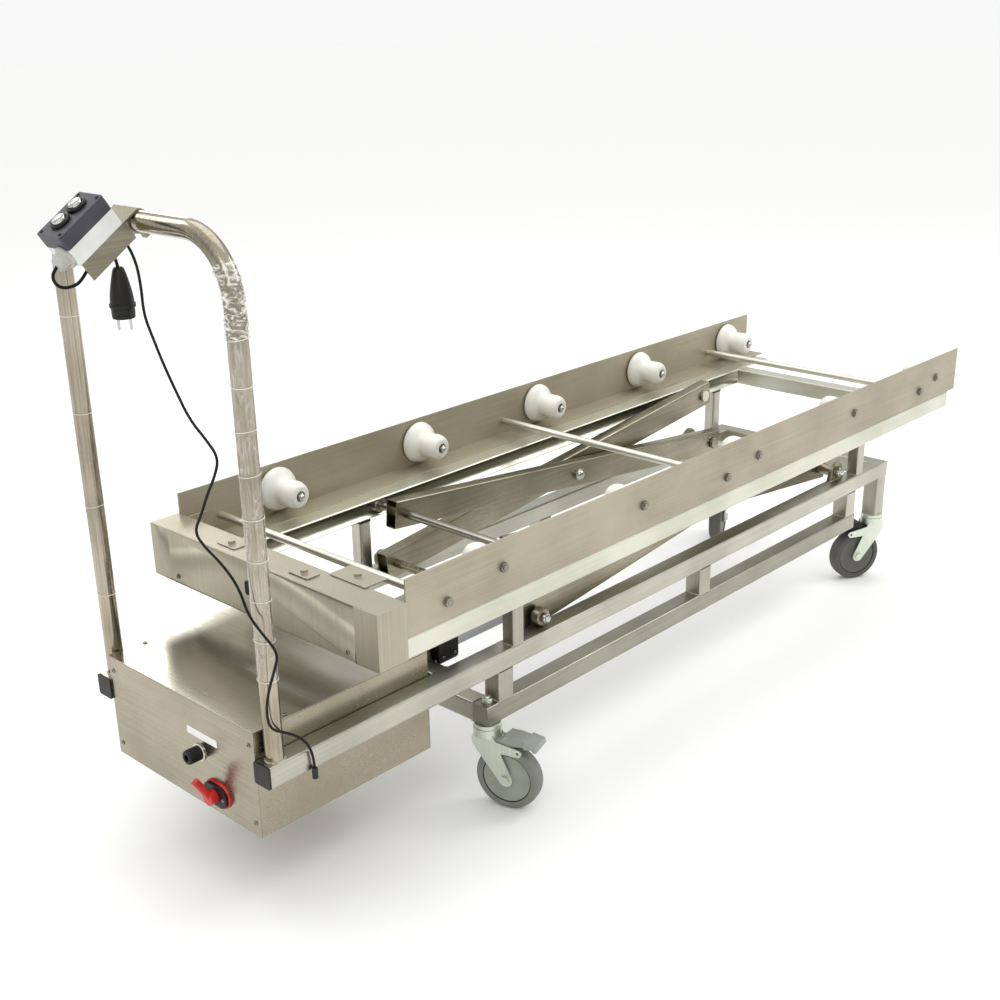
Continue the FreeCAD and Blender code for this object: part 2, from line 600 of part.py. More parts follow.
def buildHousing():
    x0, x1, z0, z1 = railRearX - housingDepth, railRearX, railZ + 1, railTop + housingRise
    coverInner = railOuter - coverWidth
    channel = block(x0, x1, -coverInner, coverInner, z0, z1)
    channel = channel.cut(block(x0 + sheet, x1, -coverInner, coverInner, z0 + sheet, z1 - sheet))
    channel = channel.cut(block(x0 + 22, x1, -coverInner, coverInner, z0, z0 + sheet))
    slot = block(x0, x0 + sheet, keySlotY - keySlotWidth / 2, keySlotY + keySlotWidth / 2,
                 railTop, railTop + keySlotHeight)
    pieces = [channel.cut(slot)]
    for s in sides:
        outer = railOuter + sheet
        cover = block(x0, x1, s * coverInner, s * outer, z0, z1)
        cover = cover.cut(block(x0 + sheet, x1, s * coverInner, s * railOuter, z0, z1 - sheet))
        gusset = joined(block(x0 + sheet, x0 + sheet + 4, s * (coverInner - 40), s * fenceInner,
                              z0 + 10, z1 - 10),
                        block(x0 + sheet, x1 + 60, s * (fenceInner - 4), s * fenceInner,
                              railTop + 5, z1 - 10))
        pieces += [cover, gusset]
    middle = (x0 + x1) / 2
    for x, y, length, width in ((middle, 105, 30, 52), (middle, -98, 30, 52), (x1 + 17, -180, 50, 92)):
        plate = bar(tabThick, width, length, 4.0)
        plate.Placement = FreeCAD.Placement(V(x, y, z1), FreeCAD.Rotation(V(0, 1, 0), -90))
        pieces.append(joined(plate, hexagon((x, y, z1 + tabThick), (0, 0, 1), 13.0, 6.0)))
    keep("rear_housing", *pieces)


buildBase()
buildCasters()
buildPowerBox()
buildHandle()
buildControl()
buildLeads()
buildScissor()
buildDeck()
buildHousing()
whole = FreeCAD.BoundBox()
for name, shape in nodes.items():
    if name not in cords:
        whole.add(shape.optimalBoundingBox(False, False))
print("box", [round(v, 3) for v in (whole.XMin, whole.XMax, whole.YMin, whole.YMax, whole.ZMin, whole.ZMax)])
shift = -round((whole.XMin + whole.XMax) / 2, 2)
print("shift", shift, "arm rear", round(armRearX, 3), "angle", round(armAngle, 4), "nodes", len(nodes))
for name, shape in nodes.items():
    shape.translate(V(shift, 0, 0))
    if not shape.isValid():
        print("not valid:", name)
    shape.exportStep("parts/%s.step" % name)
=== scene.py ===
import json
import math
import bmesh
import bpy
from mathutils import Matrix, Vector


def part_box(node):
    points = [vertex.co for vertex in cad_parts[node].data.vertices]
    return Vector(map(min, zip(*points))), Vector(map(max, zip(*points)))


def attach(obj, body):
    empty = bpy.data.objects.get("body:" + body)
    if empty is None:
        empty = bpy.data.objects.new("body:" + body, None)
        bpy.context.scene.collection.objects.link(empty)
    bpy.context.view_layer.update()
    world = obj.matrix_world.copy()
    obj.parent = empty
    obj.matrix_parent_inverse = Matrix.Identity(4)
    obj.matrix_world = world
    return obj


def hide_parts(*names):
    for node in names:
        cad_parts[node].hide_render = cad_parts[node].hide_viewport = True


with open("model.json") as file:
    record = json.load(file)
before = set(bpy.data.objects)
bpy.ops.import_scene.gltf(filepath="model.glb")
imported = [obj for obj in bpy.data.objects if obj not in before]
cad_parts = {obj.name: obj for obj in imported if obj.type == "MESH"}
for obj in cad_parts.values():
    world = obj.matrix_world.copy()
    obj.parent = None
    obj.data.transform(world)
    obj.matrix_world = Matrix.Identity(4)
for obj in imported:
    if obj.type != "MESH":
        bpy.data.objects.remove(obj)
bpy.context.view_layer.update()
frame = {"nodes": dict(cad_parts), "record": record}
nodes = frame["nodes"]
bodyOf = {node: body for body, names in frame["record"]["behaviour"]["bodies"].items() for node in names}
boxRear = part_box("power_box_rear_panel")[0][0]  # X of the power box's rear face, where lengths below start


def at(x, y, z):
    # millimetres from the power box's rear face, from the middle plane and from the floor
    return Vector((boxRear + x / 1000, y / 1000, z / 1000))


def colour(hexCode):
    parts = [int(hexCode[i:i + 2], 16) / 255 for i in (1, 3, 5)]
    return [c / 12.92 if c < 0.04045 else ((c + 0.055) / 1.055) ** 2.4 for c in parts] + [1.0]


def addNode(tree, kind, inputs=None, **settings):
    made = tree.nodes.new(kind)
    for name, value in settings.items():
        setattr(made, name, value)
    for key, value in (inputs or {}).items():
        if isinstance(value, bpy.types.NodeSocket):
            tree.links.new(value, made.inputs[key])
        else:
            made.inputs[key].default_value = value
    return made


def newMaterial(name, **fixed):
    material = bpy.data.materials.new(name)
    material.use_nodes = True
    tree = material.node_tree
    shader = tree.nodes["Principled BSDF"]
    for key, value in fixed.items():
        shader.inputs[key.replace("_", " ")].default_value = value
    place = addNode(tree, "ShaderNodeTexCoord").outputs["Object"]
    return material, tree, shader, place


def setStops(ramp, stops):
    while len(ramp.elements) < len(stops):
        ramp.elements.new(0.5)
    for stop, (place, tone) in zip(ramp.elements, stops):
        stop.position, stop.color = place, tone


def feedShader(tree, shader, **sources):
    for name, source in sources.items():
        tree.links.new(source.outputs[0], shader.inputs[name.replace("_", " ")])


brushing = {"across": 330.0, "along": 4.0, "clouds": 6.0, "cloudShare": 0.65}  # the first three in a metre


def brushedSteel(name, light, dark, direction, rough):
    # ground or plated metal: fine scratches along the length blur reflections across it;
    # they are drawn about 3 mm apart, coarser than real, so that they show
    material, tree, shader, place = newMaterial(name, Metallic=1.0)
    scale = [brushing["across"]] * 3
    scale["xyz".index(direction)] = brushing["along"]
    grain = addNode(tree, "ShaderNodeMapping", {"Vector": place, "Scale": scale})
    scratches = addNode(tree, "ShaderNodeTexNoise", {"Vector": grain.outputs[0], "Scale": 1.0, "Detail": 3.0})
    clouds = addNode(tree, "ShaderNodeTexNoise", {"Vector": place, "Scale": brushing["clouds"],
                                                  "Detail": 3.0})
    both = addNode(tree, "ShaderNodeMix", {0: brushing["cloudShare"], 2: scratches.outputs[0],
                                           3: clouds.outputs[0]})
    tone = addNode(tree, "ShaderNodeValToRGB", {"Fac": both.outputs[0]})
    setStops(tone.color_ramp, [(0.36, colour(dark)), (0.62, colour(light))])
    haze = addNode(tree, "ShaderNodeMapRange", {"Value": both.outputs[0], "From Min": 0.35, "From Max": 0.65,
                                                "To Min": rough + 0.06, "To Max": rough - 0.05})
    bump = addNode(tree, "ShaderNodeBump", {"Height": scratches.outputs[0], "Strength": 0.02,
                                            "Distance": 0.0003})
    feedShader(tree, shader, Base_Color=tone, Roughness=haze, Normal=bump)
    return material


def mouldedPlastic(name, main, worn, rough, grainMm, strength, gloss=0.5):
    # moulded plastic or rubber: spark-eroded tool texture, with slightly paler handled patches
    material, tree, shader, place = newMaterial(name, IOR=1.5, Specular_IOR_Level=gloss)
    grain = addNode(tree, "ShaderNodeTexNoise", {"Vector": place, "Scale": 1000.0 / grainMm, "Detail": 2.0})
    patches = addNode(tree, "ShaderNodeTexNoise", {"Vector": place, "Scale": 30.0, "Detail": 4.0})
    tone = addNode(tree, "ShaderNodeValToRGB", {"Fac": patches.outputs[0]})
    setStops(tone.color_ramp, [(0.35, colour(main)), (0.75, colour(worn))])
    haze = addNode(tree, "ShaderNodeMapRange", {"Value": patches.outputs[0], "From Min": 0.3, "From Max": 0.7,
                                                "To Min": rough - 0.06, "To Max": rough + 0.06})
    bump = addNode(tree, "ShaderNodeBump", {"Height": grain.outputs[0], "Strength": strength,
                                            "Distance": 0.0003})
    feedShader(tree, shader, Base_Color=tone, Roughness=haze, Normal=bump)
    return material


def clearFilm(name, troughShade, ridgeMilkAndHighlight, clear, milky, scale):
    # polyethylene wrapping film, stretched by hand: clear where it lies tight, milky along its creases; its
    # colour is painted shade in the troughs and painted highlight on the ridges
    material, tree, shader, place = newMaterial(name, IOR=1.5, Roughness=0.16)
    lanes = addNode(tree, "ShaderNodeMapping", {"Vector": place, "Scale": scale, "Rotation": (0.35, 0.3, 0)})
    creases = addNode(tree, "ShaderNodeTexNoise", {"Vector": lanes.outputs[0], "Scale": 1.0, "Detail": 2.5,
                                                   "Distortion": 1.4})
    # painted shade in the troughs of the creases, milky film and painted highlight on their ridges
    tone = addNode(tree, "ShaderNodeValToRGB", {"Fac": creases.outputs[0]})
    setStops(tone.color_ramp, [(0.42, colour(troughShade)), (0.58, colour(ridgeMilkAndHighlight))])
    milk = addNode(tree, "ShaderNodeMapRange", {"Value": creases.outputs[0], "From Min": 0.46,
                                                "From Max": 0.70, "To Min": clear, "To Max": milky})
    bump = addNode(tree, "ShaderNodeBump", {"Height": creases.outputs[0], "Strength": 0.7, "Distance": 0.002})
    feedShader(tree, shader, Base_Color=tone, Alpha=milk, Normal=bump)
    return material


# stainless tube, belt ground along its length: soft grey with a straight streak
tubeSteelX = brushedSteel("brushedStainlessTubeLengthwise", "#bfbeb1", "#aaa99c", "x", 0.33)
tubeSteelY = brushedSteel("brushedStainlessTubeCrosswise", "#bfbeb1", "#aaa99c", "y", 0.33)
tubeSteelZ = brushedSteel("brushedStainlessTubeUpright", "#b8b6a9", "#a19f92", "z", 0.33)
# the lower pair of tubes: the same steel made darker, painted shade
lowerTubeSteelPaintedShade = brushedSteel("brushedStainlessLowerTubePaintedShade", "#a4a396", "#918f83", "x", 0.33)
# stainless sheet and profile, rolled to a satin finish: broad blurred reflections in a warm grey
fenceSteel = brushedSteel("satinStainlessFenceSheet", "#b7b09d", "#aaa391", "x", 0.56)
railSteel = brushedSteel("satinStainlessChannel", "#d6d6c8", "#c6c6b7", "x", 0.40)
boxSteel = brushedSteel("satinStainlessBoxSheet", "#a69f8d", "#958e7b", "y", 0.26)
lidSteel = brushedSteel("satinStainlessLidSheet", "#b3aea1", "#a19c8e", "y", 0.23)
housingSteel = brushedSteel("satinStainlessHousingSheet", "#b2ac9a", "#a39d8b", "z", 0.44)
armSteel = brushedSteel("satinStainlessArm", "#9b9583", "#827c6a", "x", 0.30)
# other metals: polished tube, dull pale zinc plating, darker machined bolts, bright chrome, pale ground rod
filmedSteel = brushedSteel("polishedStainlessUnderFilm", "#b3ab9a", "#857c6b", "z", 0.17)
zincSteel = brushedSteel("paleZincPlatedSteel", "#e0e6d9", "#cbd1c4", "z", 0.42)
boltSteel = brushedSteel("machinedStainlessBolt", "#9c998e", "#6f6c63", "y", 0.24)
chromeSteel = brushedSteel("polishedChrome", "#d2d1ce", "#b4b3b0", "z", 0.10)
rodSteel = brushedSteel("groundStainlessRod", "#dcdacd", "#c6c4b7", "y", 0.40)
# mouldings, the anodised casting and the vinyl label: matt rubber, half-matt nylon and ABS,
# a little more gloss on the rollers and on the red polycarbonate
castGrey = mouldedPlastic("greyAnodisedCasting", "#c2c5c9", "#cfd2d5", 0.42, 1.2, 0.15)
blackRubber = mouldedPlastic("blackMouldedRubber", "#0f0e0d", "#1f1e1a", 0.55, 0.9, 0.3)
blackPlastic = mouldedPlastic("blackMouldedNylon", "#0e0d0c", "#1c1a17", 0.42, 1.0, 0.25, 0.3)
greyTyre = mouldedPlastic("greyWheelRubber", "#70726a", "#7f8178", 0.62, 1.0, 0.2)
greyDisc = mouldedPlastic("greyWheelNylon", "#8a8d84", "#979a91", 0.45, 1.2, 0.15)
darkTyre = mouldedPlastic("darkGreyWheelRubber", "#4b4944", "#595751", 0.62, 1.0, 0.2)
darkDisc = mouldedPlastic("darkGreyWheelNylon", "#524f49", "#605d57", 0.45, 1.2, 0.15)
grooveDark = mouldedPlastic("wheelGrooveShadowRubber", "#2b2c2a", "#3a3b38", 0.7, 1.0, 0.2)
pedalGrey = mouldedPlastic("greyPedalNylon", "#8f928a", "#9c9f97", 0.5, 1.2, 0.2)
rollerNylon = mouldedPlastic("ivoryTurnedNylon", "#d9d8cf", "#e5e3da", 0.33, 1.4, 0.12)
controlGrey = mouldedPlastic("lightGreyABS", "#cfd1cd", "#dcdeda", 0.42, 0.9, 0.2)
glandGrey = mouldedPlastic("greyGlandNylon", "#a3a39c", "#b9b9b2", 0.4, 1.2, 0.15)
leadPvc = mouldedPlastic("blackLeadPVC", "#070706", "#0f0f0d", 0.5, 1.0, 0.15, 0.2)
controlCharcoal = mouldedPlastic("charcoalABS", "#34343a", "#434349", 0.5, 0.9, 0.3)
isolatorRed = mouldedPlastic("redPolycarbonate", "#b01512", "#c82622", 0.3, 1.2, 0.12)
batteryCase = mouldedPlastic("blackBatteryABS", "#1a1a1c", "#29292b", 0.5, 1.0, 0.2)
labelCard = mouldedPlastic("bareWhiteVinylLabel", "#e2e1db", "#eeede8", 0.5, 1.5, 0.08)
# wrapping film: wound, drawn tight and crumpled, and the milky edge of each turn
wrapFilm = clearFilm("polyethyleneWrapFilm", "#d3cfc1", "#f4f2ea", 0.05, 0.36, (120.0, 120.0, 30.0))
# the far upright's film: clearer where drawn tight, and darker than the near film, painted shade
tightFilmPaintedShade = clearFilm("polyethyleneTightFilmPaintedShade", "#b9b4a5", "#e6e3d8", 0.02, 0.16, (120.0, 120.0, 30.0))
# the loose film at the top of the near upright: deep painted shade in its folds and painted highlight on
# them, over milky film
crumpledFilm = clearFilm("polyethyleneCrumpledFilm", "#989180", "#f6f4ec", 0.25, 0.85, (62.0, 62.0, 110.0))
filmEdge = mouldedPlastic("milkyFilmEdge", "#e6e4dc", "#f4f3ee", 0.2, 2.0, 0.1)
# welds brushed after welding: more uneven in tone than the tube beside them
weldSteel = brushedSteel("brushedWeldSeam", "#c9c4b2", "#9d9884", "x", 0.34)
print("materials made:", len(bpy.data.materials))


def addPiece(name, mesh, body, *replaced):
    piece = bpy.data.objects.new(name, mesh)
    bpy.context.scene.collection.objects.link(piece)
    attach(piece, body)
    if replaced:
        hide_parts(*replaced)
    return piece


# every CAD node that keeps its outline: finish, and the width in millimetres of its softened edges
finishes = {
    "base_side_tubes": (tubeSteelX, 0.0), "base_cross_tubes": (tubeSteelY, 0.0),
    "base_posts": (tubeSteelZ, 0.0), "rubber_pads_and_caps": (blackRubber, 1.2),
    "caster_stems": (zincSteel, 0.5), "pivot_brackets": (armSteel, 0.8),
    "power_box_tray": (boxSteel, 0.9), "power_box_lid": (lidSteel, 0.9),
    "power_box_rear_panel": (boxSteel, 0.7), "power_pack": (batteryCase, 3.0),
    "push_handle": (filmedSteel, 0.0), "control_bracket": (armSteel, 0.5),
    "control_box_base": (controlGrey, 1.2), "control_box_lid": (controlCharcoal, 1.8),
    "isolator_base": (blackPlastic, 2.0), "isolator_plug": (isolatorRed, 1.2),
    "actuator_gearbox": (blackPlastic, 2.5), "actuator_drive": (castGrey, 0.8),
    "actuator_rod": (chromeSteel, 0.6), "scissor_arms_a": (armSteel, 0.0),
    "scissor_arms_b": (armSteel, 0.0), "centre_pivots": (chromeSteel, 0.8),
    "arm_a_roller_set": (boltSteel, 0.5), "arm_b_roller_set": (armSteel, 0.5),
    "deck_frame": (railSteel, 0.0), "deck_fences": (fenceSteel, 0.7), "tie_rods": (rodSteel, 0.5),
    "roller_axles": (boltSteel, 0.5), "rear_housing": (housingSteel, 1.1),
    "lead_connector": (blackRubber, 0.8),
}
for hand in ("rear_right", "rear_left", "front_right", "front_left"):
    finishes["caster_fork_" + hand] = (zincSteel, 0.7)
    finishes["brake_pedal_" + hand] = (pedalGrey if hand.startswith("rear") else blackPlastic, 1.6)
# nodes with a second material on some faces, and the faces that have it, in metres: a finish of its own on
# the tie rods' nuts, painted shade on the lower tubes
otherFinishesAndPaintedShade = {
    "tie_rods": (boltSteel, lambda middle: abs(middle.y) > 0.3125),  # nuts outside the fences
    # painted shade: the lower pair of tubes darker than the upper pair
    "base_side_tubes": (lowerTubeSteelPaintedShade, lambda middle: middle.z < 0.24),  # lower pair of tubes
}
softEdge = {"merge": 2e-6, "flat": 0.4, "sharp": 32, "bevelFrom": 40, "segments": 2}  # metres, degrees


def softenEdges(node, material, width):
    shape = bmesh.new()
    shape.from_mesh(nodes[node].data)
    bmesh.ops.remove_doubles(shape, verts=shape.verts, dist=softEdge["merge"])
    bmesh.ops.dissolve_limit(shape, angle_limit=math.radians(softEdge["flat"]), verts=shape.verts,
                             edges=shape.edges)
    mesh = bpy.data.meshes.new(node + "Finished")
    shape.to_mesh(mesh)
    shape.free()
    mesh.materials.append(material)
    if node in otherFinishesAndPaintedShade:
        other, isOther = otherFinishesAndPaintedShade[node]
        mesh.materials.append(other)
        for face in mesh.polygons:
            face.material_index = int(isOther(face.center))
    mesh.polygons.foreach_set("use_smooth", [True] * len(mesh.polygons))
    mesh.set_sharp_from_angle(angle=math.radians(softEdge["sharp"]))
    piece = addPiece(node + "Finished", mesh, bodyOf[node], node)
    if width:
        bevel = piece.modifiers.new("softEdges", "BEVEL")
        bevel.width, bevel.segments, bevel.limit_method = width / 1000, softEdge["segments"], "ANGLE"
        bevel.angle_limit, bevel.harden_normals = math.radians(softEdge["bevelFrom"]), True


for node, (material, width) in finishes.items():
    softenEdges(node, material, width)
print("edges softened on", len(finishes), "nodes")


def finishMesh(name, shape, materials, sharp=34):
    bmesh.ops.recalc_face_normals(shape, faces=shape.faces)
    mesh = bpy.data.meshes.new(name)
    shape.to_mesh(mesh)
    shape.free()
    for material in materials:
        mesh.materials.append(material)
    mesh.set_sharp_from_angle(angle=math.radians(sharp))
    return mesh


def turnedMesh(name, profile, origin, axis, materials, steps=96, slots=(), flutes=None):
    # profile: radius and distance along the axis, millimetres, as a closed loop or from axis to axis;
    # flutes: first and last point of the profile that has them, number and depth
    axis = Vector(axis).normalized()
    side = axis.orthogonal().normalized()
    other = axis.cross(side)
    shape = bmesh.new()
    rings = []
    for k, (radius, along) in enumerate(profile):
        middle = origin + axis * along / 1000
        if radius == 0:
            rings.append([shape.verts.new(middle)] * steps)
            continue
        ring = []
        for i in range(steps):
            turn = 2 * math.pi * i / steps
            r = radius
            if flutes and flutes["first"] <= k <= flutes["last"]:
                r -= flutes["depth"] * (0.5 - 0.5 * math.cos(flutes["count"] * turn))
            outward = side * math.cos(turn) + other * math.sin(turn)
            ring.append(shape.verts.new(middle + outward * r / 1000))
        rings.append(ring)
    if profile[0][0] > 0:
        rings.append(rings[0])
    for k, (a, b) in enumerate(zip(rings, rings[1:])):
        for i in range(steps):
            j = (i + 1) % steps
            corners = []
            for corner in (a[i], a[j], b[j], b[i]):
                if corner not in corners:
                    corners.append(corner)
            if len(corners) > 2:
                face = shape.faces.new(corners)
                face.smooth = True
                face.material_index = slots[k] if k < len(slots) else 0
    return finishMesh(name, shape, materials)


def joinMeshes(name, meshes):
    shape = bmesh.new()
    for mesh in meshes:
        shape.from_mesh(mesh)
    return finishMesh(name, shape, meshes[0].materials)


deckRoller = {
    "count": 5, "first": 480.0, "pitch": 398.0, "height": 523.5,
    "foot": 309.7,  # from the middle plane to the flange
    "bore": 6.05, "flange": 45.0, "waist": 27.2, "nose": 28.0, "noseFrom": 57, "noseEnd": 16, "length": 77.7,
    "runFrom": 9.5, "run": 24, "recess": 10.6, "recessDepth": 9.0,
}


def rollerProfile(r):
    line = [(r["bore"], 0), (r["flange"] - 3, 0), (r["flange"] - 1.2, 0.5), (r["flange"] - 0.3, 1.6),
            (r["flange"], 3.2), (r["flange"], 5.4), (r["flange"] - 0.4, 7.2), (r["flange"] - 1.6, 8.8)]
    for k in range(1, 13):  # hollow run from the flange down to the waist
        u = k / 12
        swell = (0.5 + 0.5 * math.cos(math.pi * u)) ** 1.25
        line.append((r["waist"] + (r["flange"] - 2 - r["waist"]) * swell, r["runFrom"] + r["run"] * u))
    line += [(r["waist"] + 0.1, 42), (r["nose"] - 0.2, 52), (r["nose"], r["noseFrom"])]
    for k in range(1, 9):  # rounded free end
        u = math.radians(11.25 * k)
        line.append((r["noseEnd"] + (r["nose"] - r["noseEnd"]) * math.cos(u),
                     r["noseFrom"] + (r["length"] - r["noseFrom"]) * math.sin(u)))
    floor = r["length"] - r["recessDepth"]
    return line + [(r["recess"] + 0.6, r["length"]), (r["recess"], r["length"] - 0.8), (r["recess"], floor),
                   (r["bore"], floor)]


for side, hand in ((1, "left"), (-1, "right")):
    for i in range(deckRoller["count"]):
        node = "deck_roller_%s_%d" % (hand, i + 1)
        x = deckRoller["first"] + deckRoller["pitch"] * i
        foot = at(x, side * deckRoller["foot"], deckRoller["height"])
        mesh = turnedMesh(node + "Turned", rollerProfile(deckRoller), foot, (0, -side, 0), [rollerNylon])
        addPiece(node + "Turned", mesh, node, node)
print("deck rollers turned")

caster = {
    "places": {"rear_right": (520, -230, -72), "rear_left": (520, 230, 72),
               "front_right": (1968, -230, 152), "front_left": (1968, 230, 205)},  # X, Y, swivel in degrees
    "trail": 45.0, "radius": 65.0, "half": 16.0, "hub": 18.2, "bore": 6.05, "steps": 128,
}


def wheelProfile(c):
    r, w = c["radius"], c["half"]
    face = [(c["bore"], c["hub"]), (13.5, c["hub"]), (15, c["hub"] - 1), (15.4, w - 1.5), (19, w - 2.6),
            (34, w - 2.6), (r - 17.4, w - 1.8), (r - 17, w - 1.6), (r - 16.6, w - 4), (r - 15.6, w - 4),
            (r - 15.2, w - 0.2), (r - 14, w), (r - 8, w), (r - 5, w - 0.5), (r - 2.6, w - 2),
            (r - 1.2, w - 4), (r - 0.3, w - 7), (r, w - 10)]
    kinds = [1] * 7 + [2] * 3 + [0] * 7  # disc, groove, tyre
    return [(a, -b) for a, b in face] + face[::-1], kinds + [0] + kinds[::-1] + [1]


for hand, (x, y, turn) in caster["places"].items():
    cosine, sine = math.cos(math.radians(turn)), math.sin(math.radians(turn))
    profile, slots = wheelProfile(caster)
    hubPlace = at(x + caster["trail"] * cosine, y + caster["trail"] * sine, caster["radius"])
    wheelMaterials = [greyTyre, greyDisc] if hand.startswith("rear") else [darkTyre, darkDisc]
    mesh = turnedMesh("wheel_" + hand + "Turned", profile, hubPlace, (-sine, cosine, 0),
                      wheelMaterials + [grooveDark], caster["steps"], slots)
    addPiece("wheel_" + hand + "Turned", mesh, "wheel_" + hand, "caster_wheel_" + hand)
print("wheels turned")

control = {
    "middle": (-59.88, 16.0, 1143.79), "tilt": -33.5, "buttonPitch": 35.0, "lidTop": 26.0, "steps": 64,
    # radius and height over the lid
    "cap": [(0, -13), (13, -13), (13, -10), (11, -10), (11, 7.4), (10.6, 8.4), (9.8, 8.9), (8.6, 8.8),
            (7.6, 8.2), (4, 7.8), (0, 7.7)],
    "bezel": [(11.5, 0.2), (15.9, 0.2), (16.1, 0.8), (16, 3.4), (15.4, 4.8), (14.2, 5.5), (12.8, 5.3),
              (11.8, 4.6), (11.5, 3.6)],
    "glandPlace": (-47, -12, -10), "glandFlutes": {"first": 8, "last": 11, "count": 16, "depth": 0.9},
    "gland": [(2.7, -5), (8, -5), (8, 0), (17.6, 0), (18.5, 0.8), (18.5, 4.4), (17.6, 5.3), (14.2, 6),
              (13.7, 7.4), (13.5, 11), (13.4, 15.4), (12.2, 18.4), (9.8, 21.4), (7, 22.8), (2.7, 23)],
}
controlTurn = Matrix.Rotation(math.radians(control["tilt"]), 3, "Y")


def onControl(x, y, z):
    return at(*control["middle"]) + controlTurn @ Vector((x, y, z)) / 1000


def addControlPieces():
    out = controlTurn @ Vector((0, 0, 1))
    steps = control["steps"]
    for node, x in (("button_down", -control["buttonPitch"] / 2), ("button_up", control["buttonPitch"] / 2)):
        place = onControl(x, 0, 0)
        cap, ring = ([(r, control["lidTop"] + z) for r, z in control[part]] for part in ("cap", "bezel"))
        addPiece(node + "Turned", turnedMesh(node, cap, place, out, [chromeSteel], steps), node, node)
        addPiece(node + "Bezel", turnedMesh(node + "Bezel", ring, place, out, [blackPlastic], steps), "base")
    back = controlTurn @ Vector((-1, 0, 0))
    mesh = turnedMesh("cableGlandTurned", control["gland"], onControl(*control["glandPlace"]), back,
                      [glandGrey], flutes=control["glandFlutes"])
    addPiece("cableGlandTurned", mesh, "base", "cable_gland")


addControlPieces()

plug = {
    "top": (-15.0, -2.0, 1083.0), "pinSpread": (6.0, -7.5), "pinRadius": 2.4,
    "flutes": {"first": 6, "last": 9, "count": 24, "depth": 0.5},
    "body": [(2.7, 14), (2.7, 0), (5.6, 0), (7, 0.8), (8.6, 3.4), (10.4, 9), (12.4, 17), (14.4, 26),
             (16.2, 35), (17.5, 44), (18.1, 51), (18.3, 54), (19.6, 54.6), (20, 55.4), (20, 59.4),
             (19.4, 60.4), (18, 61), (17.8, 70), (17.4, 76), (16.6, 77), (0, 77), (0, 14)],
}


def addPlug():
    x, y, z = plug["top"]
    down, materials = (0, 0, -1), [blackPlastic, chromeSteel]
    meshes = [turnedMesh("plugBody", plug["body"], at(x, y, z), down, materials, flutes=plug["flutes"])]
    r = plug["pinRadius"]
    pin = [(0, 76), (r, 76), (r, 93.5), (r - 0.6, 95), (r - 1.4, 95.8), (0, 96)]
    for k in (-1, 1):
        place = at(x + plug["pinSpread"][0] * k, y + plug["pinSpread"][1] * k, z)
        meshes.append(turnedMesh("plugPin", pin, place, down, materials, steps=32, slots=[1] * len(pin)))
    return addPiece("mainsPlugTurned", joinMeshes("mainsPlugTurned", meshes), "base", "mains_plug")


plugPiece = addPlug()

cords = {
    "plugLead": {"node": "plug_lead", "diameter": 5.0, "end": "plug", "route": [
        (-97.72, 4, 1106.74), (-118.1, 4, 1093.25), (-121, 4, 1078), (-111, 3, 1066), (-95, 1, 1065),
        (-78, 0, 1070), (-52, -1, 1104), (-15, -2, 1107), (-15, -2, 1071)]},
    "controlLead": {"node": "control_lead", "diameter": 4.5, "end": "connector", "route": [
        (-18.26, -4, 1149.75), (-0.6, -4, 1123.07), (9, -14, 1090), (3, -30, 1054), (-3, -38, 1014),
        (-4, -58, 980), (-4, -78, 944), (-4, -104, 906), (-4, -132, 868), (-4, -168, 845), (-4, -197, 822),
        (-4, -182, 789), (-4, -158, 755), (-4, -137, 718), (-4, -112, 682), (-4, -140, 662), (-4, -180, 646),
        (-4, -217, 618), (-4, -234, 578), (-4, -266, 556), (-4, -302, 536), (-4, -290, 504), (-4, -270, 462),
        (-4, -258, 420), (2, -256, 384), (36, -256, 364), (68, -256, 338), (84, -256, 302), (84, -256, 270)]},
}


def addCord(name, facts):
    curve = bpy.data.curves.new(name, "CURVE")
    curve.dimensions = "3D"
    curve.bevel_depth, curve.bevel_resolution = facts["diameter"] / 2000, 5
    curve.use_fill_caps = True
    spline = curve.splines.new("NURBS")
    spline.points.add(len(facts["route"]) - 1)
    for point, place in zip(spline.points, facts["route"]):
        point.co = (*at(*place), 1.0)
    spline.order_u, spline.use_endpoint_u = 3, True
    spline.resolution_u = 12
    curve.materials.append(leadPvc)
    piece = bpy.data.objects.new(name, curve)
    bpy.context.scene.collection.objects.link(piece)
    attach(piece, "base")
    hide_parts(facts["node"])
    line = curve.copy()  # the bare middle line, made into a mesh
    line.bevel_depth = 0.0
    probe = bpy.data.objects.new(name + "Line", line)
    bpy.context.scene.collection.objects.link(probe)
    track = bpy.data.meshes.new_from_object(probe.evaluated_get(bpy.context.evaluated_depsgraph_get()))
    bpy.data.objects.remove(probe)


addCord("plugLead", cords["plugLead"])
addCord("controlLead", cords["controlLead"])

socket = {
    "place": (0.0, -53.0, 265.0), "flutes": {"first": 6, "last": 7, "count": 18, "depth": 1.0},
    "sleeve": [(0, -22), (11, -22), (11, 0), (13.4, 0), (13.4, 4), (13, 5), (13.2, 7), (13.2, 23),
               (12.8, 25.5), (11.6, 27.4), (10.4, 28), (7.2, 28), (6.2, 27), (6, 25), (6, 3), (0, 3)],
    "ring": [(13.5, 0.1), (16.2, 0.1), (16.6, 0.6), (16.6, 1.8), (16, 2.6), (14.6, 3.2), (13.5, 3.2)],
}


def addSocket():
    place, back = at(*socket["place"]), (-1, 0, 0)
    sleeve = turnedMesh("chargeSocketTurned", socket["sleeve"], place, back, [blackPlastic], steps=108,
                        flutes=socket["flutes"])
    addPiece("chargeSocketTurned", sleeve, "base", "charge_socket")
    ring = turnedMesh("chargeSocketRing", socket["ring"], place, back, [chromeSteel], steps=72)
    addPiece("chargeSocketRing", ring, "base")


addSocket()


